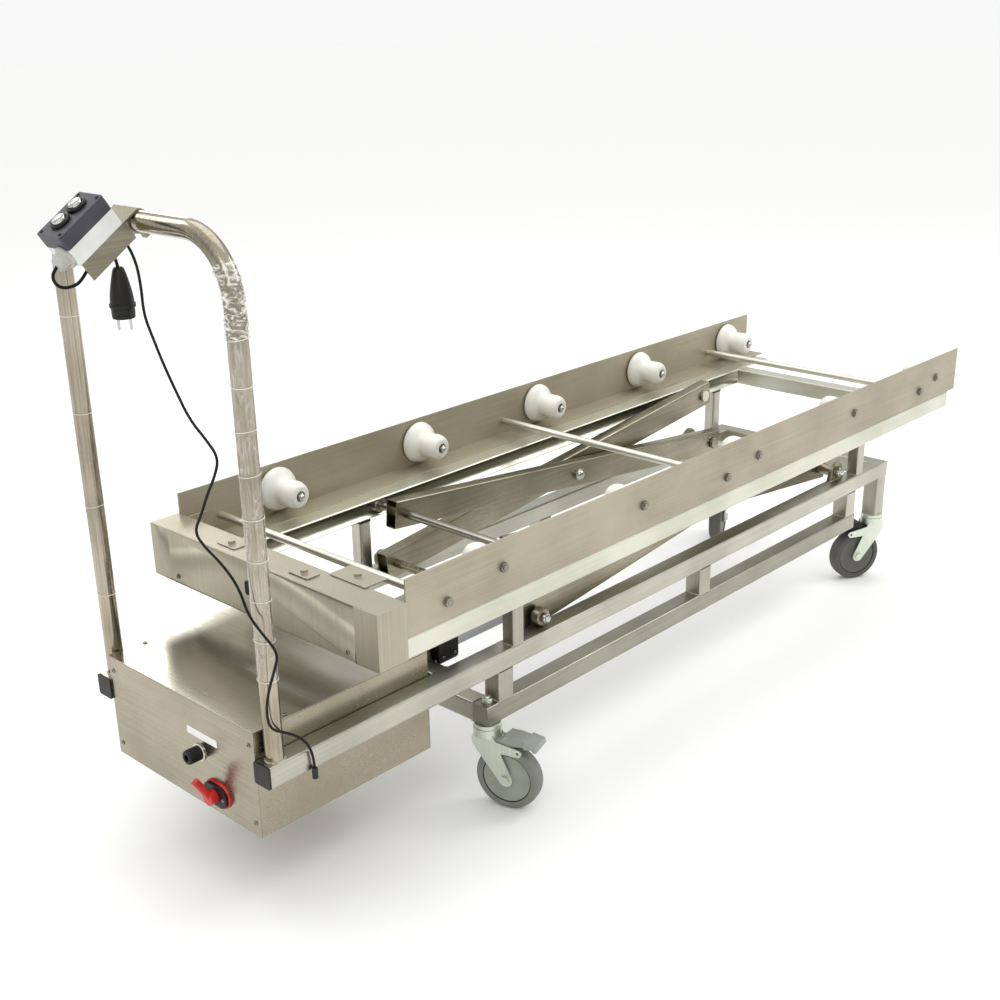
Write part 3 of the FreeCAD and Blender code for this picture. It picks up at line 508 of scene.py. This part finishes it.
def stadium(width, height, count):
    r = height / 2
    points = []
    for k in range(count):
        turn = 2 * math.pi * (k + 0.5) / count
        shiftY = (width / 2 - r) * (1 if math.cos(turn) > 0 else -1)
        points.append((shiftY + r * math.cos(turn), r * math.sin(turn)))
    return points


def skinRings(shape, rings, capped):
    for a, b in zip(rings, rings[1:]):
        for i in range(len(a)):
            shape.faces.new((a[i], a[i - 1], b[i - 1], b[i])).smooth = True
    if capped:
        shape.faces.new(rings[0])
        shape.faces.new(rings[-1])


isolator = {"place": (-98.0, 203.0), "size": (64.0, 40.0), "rim": 2.6, "depth": 4.5, "gap": 0.15, "steps": 64}


def addIsolatorRim():
    y, z = isolator["place"]
    width, height = isolator["size"]
    rim, depth, gap = isolator["rim"], isolator["depth"], isolator["gap"]
    shape = bmesh.new()
    rings = []
    for grow, x in ((gap, -0.1), (rim, -0.1), (rim, 1.2 - depth), (rim - 1, -depth), (gap, -depth)):
        rings.append([shape.verts.new(at(x, y + a, z + b))
                      for a, b in stadium(width + 2 * grow, height + 2 * grow, isolator["steps"])])
    skinRings(shape, rings + rings[:1], False)
    addPiece("isolatorRim", finishMesh("isolatorRim", shape, [isolatorRed], sharp=40), "base")


# rubber grommet that closes the slot in the housing's rear wall
slotGrommet = {"place": (183.0, 25.0, 485.0), "size": (27.6, 11.6), "lip": 1.8, "depth": 2.0, "steps": 48}


def addSlotGrommet():
    x, y, z = slotGrommet["place"]
    length, width = slotGrommet["size"]
    lip, depth = slotGrommet["lip"], slotGrommet["depth"]
    shape = bmesh.new()
    rings = []
    for shrink, along in ((0, depth), (0, -0.6), (0.7, -1.1), (lip, -1.1), (lip, 0.6)):
        rings.append([shape.verts.new(at(x + along, y + b, z + a))
                      for a, b in stadium(length - 2 * shrink, width - 2 * shrink, slotGrommet["steps"])])
    skinRings(shape, rings, True)
    addPiece("slotGrommet", finishMesh("slotGrommet", shape, [blackRubber], sharp=40), "deck")


addIsolatorRim()
addSlotGrommet()

label = {
    "middle": (-65.0, 300.0), "size": (84.0, 14.0), "gap": 0.05, "thick": 0.8, "corner": 2.0,
    "sharp": 10,  # degrees, less than any turn of the outline, so that each side face stays flat
}


def addLabel():
    y, z = label["middle"]
    width, height = label["size"]
    r = label["corner"]
    outline = []
    for cornerY, cornerZ, start in ((1, 1, 0), (-1, 1, 90), (-1, -1, 180), (1, -1, 270)):
        for k in range(5):
            turn = math.radians(start + 22.5 * k)
            outline.append((y + cornerY * (width / 2 - r) + r * math.cos(turn),
                            z + cornerZ * (height / 2 - r) + r * math.sin(turn)))
    shape = bmesh.new()
    depths = (-label["gap"], -label["gap"] - label["thick"])
    rings = [[shape.verts.new(at(x, a, b)) for a, b in outline] for x in depths]
    skinRings(shape, rings, True)
    addPiece("bareLabel", finishMesh("bareLabel", shape, [labelCard], sharp=label["sharp"]), "base")


addLabel()
print("control, plug, cords, socket, isolator and label made")


def newTree(name, sockets):
    tree = bpy.data.node_groups.new(name, "GeometryNodeTree")
    tree.interface.new_socket("Geometry", in_out="INPUT", socket_type="NodeSocketGeometry")
    for title, kind, value in sockets:
        made = tree.interface.new_socket(title, in_out="INPUT", socket_type="NodeSocket" + kind)
        if value is not None:
            made.default_value = value
    tree.interface.new_socket("Geometry", in_out="OUTPUT", socket_type="NodeSocketGeometry")
    return tree, addNode(tree, "NodeGroupInput").outputs


def endTree(tree, geometry, material):
    real = addNode(tree, "GeometryNodeRealizeInstances", {"Geometry": geometry})
    coat = addNode(tree, "GeometryNodeSetMaterial", {"Geometry": real.outputs[0], "Material": material})
    addNode(tree, "NodeGroupOutput", {"Geometry": coat.outputs[0]})


def growPiece(name, seed, tree, values, body, sharp=34):
    maker = bpy.data.objects.new(name + "Maker", seed)
    bpy.context.scene.collection.objects.link(maker)
    modifier = maker.modifiers.new("grow", "NODES")
    modifier.node_group = tree
    for item in tree.interface.items_tree:
        if item.item_type == "SOCKET" and item.in_out == "INPUT" and item.name in values:
            modifier[item.identifier] = values[item.name]
    mesh = bpy.data.meshes.new_from_object(maker.evaluated_get(bpy.context.evaluated_depsgraph_get()))
    bpy.data.objects.remove(maker)
    mesh.polygons.foreach_set("use_smooth", [True] * len(mesh.polygons))
    mesh.set_sharp_from_angle(angle=math.radians(sharp))
    mesh.name = name
    return addPiece(name, mesh, body)


def pathMesh(name, lines):
    points, edges = [], []
    for line in lines:
        edges += [(len(points) + k, len(points) + k + 1) for k in range(len(line) - 1)]
        points += line
    mesh = bpy.data.meshes.new(name)
    mesh.from_pydata(points, edges, [])
    return mesh


def boltTree():
    # one head on each point of the seed, standing along the point's aim
    tree, given = newTree("boltHeads", [
        ("Radius", "Float", 0.005), ("Height", "Float", 0.003), ("Sides", "Int", 24),
        ("Top Share", "Float", 0.7), ("Recess", "Float", 0.001), ("Material", "Material", None)])
    half = addNode(tree, "ShaderNodeMath", {0: given["Height"], 1: 0.5}, operation="MULTIPLY").outputs[0]
    drum = addNode(tree, "GeometryNodeMeshCylinder", {"Vertices": given["Sides"], "Radius": given["Radius"],
                                                      "Depth": half})
    lift = addNode(tree, "ShaderNodeMath", {0: half, 1: 0.5}, operation="MULTIPLY").outputs[0]
    up = addNode(tree, "ShaderNodeCombineXYZ", {"Z": lift})
    stood = addNode(tree, "GeometryNodeTransform", {"Geometry": drum.outputs["Mesh"],
                                                    "Translation": up.outputs[0]})
    crown = addNode(tree, "GeometryNodeExtrudeMesh", {"Mesh": stood.outputs[0], "Offset Scale": half,
                                                      "Selection": drum.outputs["Top"]}, mode="FACES")
    domed = addNode(tree, "GeometryNodeScaleElements", {"Geometry": crown.outputs["Mesh"],
                                                        "Selection": crown.outputs["Top"],
                                                        "Scale": given["Top Share"]})
    inset = addNode(tree, "GeometryNodeExtrudeMesh", {"Mesh": domed.outputs[0], "Offset Scale": 0.0,
                                                      "Selection": crown.outputs["Top"]}, mode="FACES")
    brim = addNode(tree, "GeometryNodeScaleElements", {"Geometry": inset.outputs["Mesh"], "Scale": 0.62,
                                                       "Selection": inset.outputs["Top"]})
    sunk = addNode(tree, "ShaderNodeMath", {0: given["Recess"], 1: -1.0}, operation="MULTIPLY").outputs[0]
    drive = addNode(tree, "GeometryNodeExtrudeMesh", {"Mesh": brim.outputs[0], "Offset Scale": sunk,
                                                      "Selection": inset.outputs["Top"]}, mode="FACES")
    aim = addNode(tree, "GeometryNodeInputNamedAttribute", {"Name": "aim"}, data_type="FLOAT_VECTOR")
    turn = addNode(tree, "FunctionNodeAlignRotationToVector", {"Vector": aim.outputs[0]}, axis="Z")
    heads = addNode(tree, "GeometryNodeInstanceOnPoints", {"Points": given["Geometry"],
                                                           "Instance": drive.outputs["Mesh"],
                                                           "Rotation": turn.outputs[0]})
    endTree(tree, heads.outputs[0], given["Material"])
    return tree


toRear, toTop, toRight = (-1, 0, 0), (0, 0, 1), (0, -1, 0)  # ways that a head faces
# spots: place and way; control: places on the tilted control box
bolts = [
    {"name": "panelScrews", "body": "base", "material": boltSteel,
     "radius": 4.2, "height": 2.2, "sides": 24, "share": 0.72, "recess": 1.0,
     "spots": [((0, y, z), toRear) for y in (-197, 197) for z in (187, 334)]
     + [((x, y, 361), toTop) for x in (73, 318) for y in (-201, 201)]},
    {"name": "housingScrews", "body": "deck", "material": boltSteel,
     "radius": 4.6, "height": 2.4, "sides": 24, "share": 0.72, "recess": 1.1,
     "spots": [((183, y, 446), toRear) for y in (-240, 240)]},
    {"name": "controlLidScrews", "body": "base", "material": blackPlastic,
     "radius": 3.0, "height": 1.4, "sides": 20, "share": 0.78, "recess": 0.9,
     "control": [(x, y, control["lidTop"]) for x in (-40, 40) for y in (-25, 25)]},
    {"name": "isolatorScrews", "body": "base", "material": boltSteel,
     "radius": 3.2, "height": 1.6, "sides": 20, "share": 0.75, "recess": 0.9,
     "spots": [((-10, -98 + y, 203), toRear) for y in (-24, 24)]},
    {"name": "gearboxScrews", "body": "base", "material": boltSteel,
     "radius": 3.6, "height": 2.6, "sides": 20, "share": 0.8, "recess": 1.4,
     "spots": [((440, -158 + y, z), toRear) for y in (-22, 22) for z in (310, 398)]
     + [((x, -189, z), toRight) for x in (450, 480) for z in (318, 390)]},
]
boltMaker = boltTree()
for kind in bolts:
    if "control" in kind:
        spots = [(onControl(*p), controlTurn @ Vector(toTop)) for p in kind["control"]]
    else:
        spots = [(at(*p), Vector(d)) for p, d in kind["spots"]]
    seed = bpy.data.meshes.new(kind["name"] + "Seed")
    seed.from_pydata([p for p, d in spots], [], [])
    aims = seed.attributes.new("aim", "FLOAT_VECTOR", "POINT")
    aims.data.foreach_set("vector", [v for p, d in spots for v in d])
    growPiece(kind["name"], seed, boltMaker,
              {"Radius": kind["radius"] / 1000, "Height": kind["height"] / 1000, "Sides": kind["sides"],
               "Top Share": kind["share"], "Recess": kind["recess"] / 1000, "Material": kind["material"]},
              kind["body"])
print("bolt heads grown:", sum(len(kind.get("spots", kind.get("control"))) for kind in bolts))


def weldTree():
    # a row of beads along each line of the seed
    tree, given = newTree("weldBeads", [
        ("Bead", "Float", 0.002), ("Pitch", "Float", 0.0028), ("Seed", "Int", 7),
        ("Material", "Material", None)])
    lines = addNode(tree, "GeometryNodeMeshToCurve", {"Mesh": given["Geometry"]})
    dots = addNode(tree, "GeometryNodeResampleCurve", {"Curve": lines.outputs[0], "Length": given["Pitch"]},
                   mode="LENGTH")
    bead = addNode(tree, "GeometryNodeMeshIcoSphere", {"Radius": given["Bead"], "Subdivisions": 2})
    spread = addNode(tree, "FunctionNodeRandomValue", {2: 0.8, 3: 1.15, "Seed": given["Seed"]},
                     data_type="FLOAT")
    beads = addNode(tree, "GeometryNodeInstanceOnPoints", {"Points": dots.outputs[0],
                                                           "Instance": bead.outputs["Mesh"],
                                                           "Scale": spread.outputs[1]})
    endTree(tree, beads.outputs[0], given["Material"])
    return tree


weld = {
    "bead": 2.0, "pitch": 2.6, "tubeMiddle": 230, "tubeInside": 210, "cornerGap": 2,
    "upperTop": 312, "upperFoot": 272, "lowerTop": 212, "lowerFoot": 172,
    "posts": (554, 1196, 1818), "postHalf": 20, "postReach": 16,
    "rests": {-1: (590, 1850), 1: (634, 1912)}, "restHalf": 15, "restReach": 12,
    "restSpan": (223, 247), "restInside": 220, "handleX": 25, "handleRadius": 16,
    "pivotSpan": (1753, 1814), "pivotY": 223, "legX": 1948, "legSpan": (17, 4),
    "upperCross": (398, 438), "lowerCross": (500, 540),
}


def weldLines():
    w, both = weld, (-1, 1)
    top, foot = w["upperTop"], w["upperFoot"]
    crossTubes = ((w["upperCross"], foot, top), (w["lowerCross"], w["lowerFoot"], w["lowerTop"]))
    lines = []
    for s in both:
        for x in w["posts"]:
            for z in (w["lowerTop"], foot):
                across = [s * (w["tubeMiddle"] + b * w["postReach"]) for b in both]
                lines += [[(x + end * w["postHalf"], y, z) for y in across] for end in both]
        for x in w["rests"][s]:
            lines += [[(x + end * w["restHalf"], s * y, top) for y in w["restSpan"]] for end in both]
            lines.append([(x + end * w["restReach"], s * w["restInside"], top) for end in both])
        turns = [k * math.pi / 12 for k in range(25)]
        lines.append([(w["handleX"] + w["handleRadius"] * math.cos(turn),
                       s * w["tubeMiddle"] + w["handleRadius"] * math.sin(turn), top) for turn in turns])
        lines.append([(x, s * w["pivotY"], top) for x in w["pivotSpan"]])
        for b in both:
            lines.append([(w["legX"], s * (w["tubeMiddle"] + b * reach), foot) for reach in w["legSpan"]])
        for places, low, high in crossTubes:
            heights = (low + w["cornerGap"], high - w["cornerGap"])
            lines += [[(x, s * w["tubeInside"], z) for z in heights] for x in places]
    return [[at(*place) for place in line] for line in lines]


growPiece("weldBeads", pathMesh("weldSeed", weldLines()), weldTree(),
          {"Bead": weld["bead"] / 1000, "Pitch": weld["pitch"] / 1000, "Material": weldSteel},
          "base", sharp=60)
print("weld beads grown")


def filmTree():
    # a thin sleeve of film round each path of the seed, lifted into puckers where the noise is over 0.44
    tree, given = newTree("filmSleeve", [
        ("Radius", "Float", 0.0165), ("Fold", "Float", 0.006), ("Step", "Float", 0.003),
        ("Grain", "Float", 90.0), ("Material", "Material", None)])
    path = addNode(tree, "GeometryNodeMeshToCurve", {"Mesh": given["Geometry"]})
    even = addNode(tree, "GeometryNodeResampleCurve", {"Curve": path.outputs[0], "Length": given["Step"]},
                   mode="LENGTH")
    hoop = addNode(tree, "GeometryNodeCurvePrimitiveCircle", {"Resolution": 40, "Radius": given["Radius"]},
                   mode="RADIUS")
    sleeve = addNode(tree, "GeometryNodeCurveToMesh", {"Curve": even.outputs[0],
                                                       "Profile Curve": hoop.outputs[0]})
    where = addNode(tree, "GeometryNodeInputPosition")
    pucker = addNode(tree, "ShaderNodeTexNoise", {"Vector": where.outputs[0], "Scale": given["Grain"],
                                                  "Detail": 3.0, "Distortion": 1.2})
    level = addNode(tree, "ShaderNodeMath", {0: pucker.outputs[0], 1: 0.44}, operation="SUBTRACT")
    raised = addNode(tree, "ShaderNodeMath", {0: level.outputs[0], 1: 0.0}, operation="MAXIMUM")
    amount = addNode(tree, "ShaderNodeMath", {0: raised.outputs[0], 1: given["Fold"]}, operation="MULTIPLY")
    normal = addNode(tree, "GeometryNodeInputNormal")
    push = addNode(tree, "ShaderNodeVectorMath", {0: normal.outputs[0], "Scale": amount.outputs[0]},
                   operation="SCALE")
    puckered = addNode(tree, "GeometryNodeSetPosition", {"Geometry": sleeve.outputs[0],
                                                         "Offset": push.outputs[0]})
    endTree(tree, puckered.outputs[0], given["Material"])
    return tree


def filmEdgeTree():
    # the edges of the wound film: thin hoops along each path of the seed, each leaning a little its own way
    tree, given = newTree("filmEdges", [
        ("Radius", "Float", 0.0168), ("Thick", "Float", 0.0005), ("Pitch", "Float", 0.07),
        ("Lean", "Float", 0.1), ("Seed", "Int", 11), ("Material", "Material", None)])
    path = addNode(tree, "GeometryNodeMeshToCurve", {"Mesh": given["Geometry"]})
    even = addNode(tree, "GeometryNodeResampleCurve", {"Curve": path.outputs[0], "Length": given["Pitch"]},
                   mode="LENGTH")
    hoop = addNode(tree, "GeometryNodeCurvePrimitiveCircle", {"Resolution": 48, "Radius": given["Radius"]},
                   mode="RADIUS")
    wire = addNode(tree, "GeometryNodeCurvePrimitiveCircle", {"Resolution": 8, "Radius": given["Thick"]},
                   mode="RADIUS")
    ring = addNode(tree, "GeometryNodeCurveToMesh", {"Curve": hoop.outputs[0],
                                                     "Profile Curve": wire.outputs[0]})
    minus = addNode(tree, "ShaderNodeMath", {0: given["Lean"], 1: -1.0}, operation="MULTIPLY")
    low = addNode(tree, "ShaderNodeCombineXYZ", {"X": minus.outputs[0], "Y": minus.outputs[0]})
    high = addNode(tree, "ShaderNodeCombineXYZ", {"X": given["Lean"], "Y": given["Lean"]})
    lean = addNode(tree, "FunctionNodeRandomValue", {0: low.outputs[0], 1: high.outputs[0],
                                                     "Seed": given["Seed"]}, data_type="FLOAT_VECTOR")
    hoops = addNode(tree, "GeometryNodeInstanceOnPoints", {"Points": even.outputs[0],
                                                           "Instance": ring.outputs[0],
                                                           "Rotation": lean.outputs[0]})
    endTree(tree, hoops.outputs[0], given["Material"])
    return tree


film = {
    "x": 25.0, "half": 230.0, "bend": 100.0, "bar": 1146.0, "step": 20.0,  # middle line of the handle
    "bottom": {-1: 456.0, 1: 470.0}, "top": {-1: 1104.0, 1: 972.0}, "loose": 1000.0,
    "radius": 16.4, "fold": 5.0, "looseFold": 11.0, "looseGrain": 70.0,
    "edgeRadius": 16.9, "edgePitch": 62.0, "edgeLean": 0.12,
    "farEdgePitch": 165.0, "farEdgeLean": 0.06, "farEdgeSeed": 4,
}


def filmPath(side, low, high):
    # the middle line of one upright between two heights, into the bend where it reaches that far
    count = max(2, round((high - low) / film["step"]))
    line = []
    for k in range(count + 1):
        z = low + (high - low) * k / count
        over = max(0.0, z - film["bar"] + film["bend"])
        inward = film["bend"] - math.sqrt(film["bend"] ** 2 - over ** 2)
        line.append(at(film["x"], side * (film["half"] - inward), z))
    return line


def addFilm():
    near = [filmPath(-1, film["bottom"][-1], film["loose"])]
    far = [filmPath(1, film["bottom"][1], film["top"][1])]
    loose = [filmPath(-1, film["loose"], film["top"][-1])]
    sleeve, edges = filmTree(), filmEdgeTree()
    radius, edgeRadius = film["radius"] / 1000, film["edgeRadius"] / 1000
    for name, lines, material in (("handleFilmTight", near, wrapFilm), ("handleFilmFar", far, tightFilmPaintedShade)):
        growPiece(name, pathMesh("filmSeed", lines), sleeve,
                  {"Radius": radius, "Fold": film["fold"] / 1000, "Material": material}, "base", sharp=180)
    growPiece("handleFilmLoose", pathMesh("filmSeed", loose), sleeve,
              {"Radius": radius, "Fold": film["looseFold"] / 1000, "Grain": film["looseGrain"],
               "Material": crumpledFilm}, "base", sharp=180)
    growPiece("handleFilmEdges", pathMesh("filmSeed", near), edges,
              {"Radius": edgeRadius, "Pitch": film["edgePitch"] / 1000, "Lean": film["edgeLean"],
               "Material": filmEdge}, "base")
    growPiece("handleFilmFarEdges", pathMesh("filmSeed", far), edges,
              {"Radius": edgeRadius, "Pitch": film["farEdgePitch"] / 1000, "Lean": film["farEdgeLean"],
               "Seed": film["farEdgeSeed"], "Material": filmEdge}, "base")


addFilm()
print("handle film grown")

acorn = {
    "profile": [(0, 0), (13.4, 0), (14, 0.6), (14, 6.4), (13, 7.6), (11.4, 8.2), (10.8, 10.5), (9, 13.4),
                (6, 15.6), (3, 16.5), (0, 16.8)],
    "steps": 48, "rollerEnd": 232.4, "rollerSize": 0.5,
    "spots": [  # body, name, X, distance from the middle, Z, outward or inward, size
        ("arm_a", "centreInner", 1231.79, 143, 390.65, -1, 1.0),
        ("arm_a", "centreOuter", 1231.79, 208, 390.65, 1, 1.0),
        ("arm_b_rollers", "lowerRoller", 680.08, 236, 330.3, 1, 0.7),
        ("base", "frontPivot", 1783.5, 228, 330.3, 1, 0.8),
    ],
}
for i in range(deckRoller["count"]):
    acorn["spots"].append(("deck", "rollerEnd%d" % (i + 1), deckRoller["first"] + deckRoller["pitch"] * i,
                           acorn["rollerEnd"], deckRoller["height"], -1, acorn["rollerSize"]))
for body, name, x, y, z, outward, size in acorn["spots"]:
    profile = [(r * size, along * size) for r, along in acorn["profile"]]
    meshes = [turnedMesh("acornNut", profile, at(x, s * y, z), (0, s * outward, 0), [chromeSteel],
                         acorn["steps"]) for s in (-1, 1)]
    addPiece(name + "Nuts", joinMeshes(name + "Nuts", meshes), body)

motor = {
    "place": (490.0, -158.0, 376.3), "bands": [(4, 9), (96, 100), (104, 115)],  # from and to along the motor
    "inside": 21.6, "shoulder": 22.5, "outside": 22.9, "round": 0.6, "steps": 64,
}


def bandProfile(m, a, b):
    return [(m["inside"], a), (m["shoulder"], a), (m["outside"], a + m["round"]),
            (m["outside"], b - m["round"]), (m["shoulder"], b), (m["inside"], b)]


meshes = [turnedMesh("motorBand", bandProfile(motor, a, b), at(*motor["place"]), (1, 0, 0), [blackPlastic],
                     motor["steps"]) for a, b in motor["bands"]]
addPiece("motorBands", joinMeshes("motorBands", meshes), "base")
print("nuts and motor bands turned")

view = {
    "place": (-1122.8, -1811.9, 1457.0),
    "right": (0.6949, -0.7187, -0.0252),
    "look": (0.6616, 0.6526, -0.3694),
    "lens": 49.53,
    "sensor": 36.0,
    "shift": (0.0323, 0.0345),
}


def addCamera():
    data = bpy.data.cameras.new("photoCamera")
    data.lens, data.sensor_width = view["lens"], view["sensor"]
    data.shift_x, data.shift_y = view["shift"]
    data.clip_end = 100.0
    camera = bpy.data.objects.new("photoCamera", data)
    bpy.context.scene.collection.objects.link(camera)
    look = Vector(view["look"]).normalized()
    right = Vector(view["right"]).normalized()
    up = right.cross(look).normalized()
    turn = Matrix((right, up, -look)).transposed()
    camera.matrix_world = Matrix.Translation(at(*view["place"])) @ turn.to_4x4()
    bpy.context.scene.camera = camera


studio = {
    "floorSize": 60.0,
    "floorColour": "#f4f4f3",
    "worldStrength": 1.3,
    # height of the ray, grey
    "sky": [(0.0, 0.725), (0.04, 0.725), (0.14, 0.55), (0.44, 0.55), (0.64, 0.84), (1.0, 1.0)],
    "lamps": [  # name, place and aim in metres, size, power
        ("overheadSoftbox", (0.4, 0.6, 4.0), (0.2, 0.0, 0.0), 3.2, 40.0),
        ("keySoftbox", (-3.4, -2.4, 3.2), (0.0, 0.0, 0.4), 1.8, 30.0),
        ("farWindow", (1.35, 4.1, 2.48), (-0.95, 0.15, 0.36), 0.9, 15.0),
        ("edgeRight", (2.9, -1.7, 3.2), (0.2, -0.2, 0.4), 1.4, 40.0),
        ("edgeLeft", (-1.7, 2.9, 3.2), (-0.5, 0.0, 0.5), 1.4, 16.0),
    ],
}


def addFloor():
    mesh = bpy.data.meshes.new("floor")
    half = studio["floorSize"] / 2
    corners = [(-half, -half, 0), (half, -half, 0), (half, half, 0), (-half, half, 0)]
    mesh.from_pydata(corners, [], [(0, 1, 2, 3)])
    floor = bpy.data.objects.new("floor", mesh)
    bpy.context.scene.collection.objects.link(floor)
    # matt floor paint: carries soft shadows and no clear reflections
    paint = newMaterial("paleFloorPaint", Roughness=0.8, Base_Color=colour(studio["floorColour"]))[0]
    mesh.materials.append(paint)


def addLight():
    world = bpy.data.worlds.new("studioWorld")
    world.use_nodes = True
    tree = world.node_tree
    background = tree.nodes["Background"]
    background.inputs["Strength"].default_value = studio["worldStrength"]
    heading = addNode(tree, "ShaderNodeTexCoord").outputs["Generated"]
    height = addNode(tree, "ShaderNodeSeparateXYZ", {"Vector": heading}).outputs["Z"]
    sky = addNode(tree, "ShaderNodeValToRGB", {"Fac": height})
    setStops(sky.color_ramp, [(place, (grey, grey, grey, 1.0)) for place, grey in studio["sky"]])
    tree.links.new(sky.outputs[0], background.inputs["Color"])
    bpy.context.scene.world = world
    for name, place, aim, size, power in studio["lamps"]:
        lamp = bpy.data.lights.new(name, "AREA")
        lamp.shape, lamp.size, lamp.energy = "SQUARE", size, power
        thing = bpy.data.objects.new(name, lamp)
        bpy.context.scene.collection.objects.link(thing)
        thing.location = place
        thing.rotation_euler = (Vector(aim) - Vector(place)).to_track_quat("-Z", "Y").to_euler()
    bpy.context.scene.view_settings.view_transform = "Standard"  # plain tone curve, so that white stays white


addCamera()
addFloor()
addLight()
print("camera and studio set")
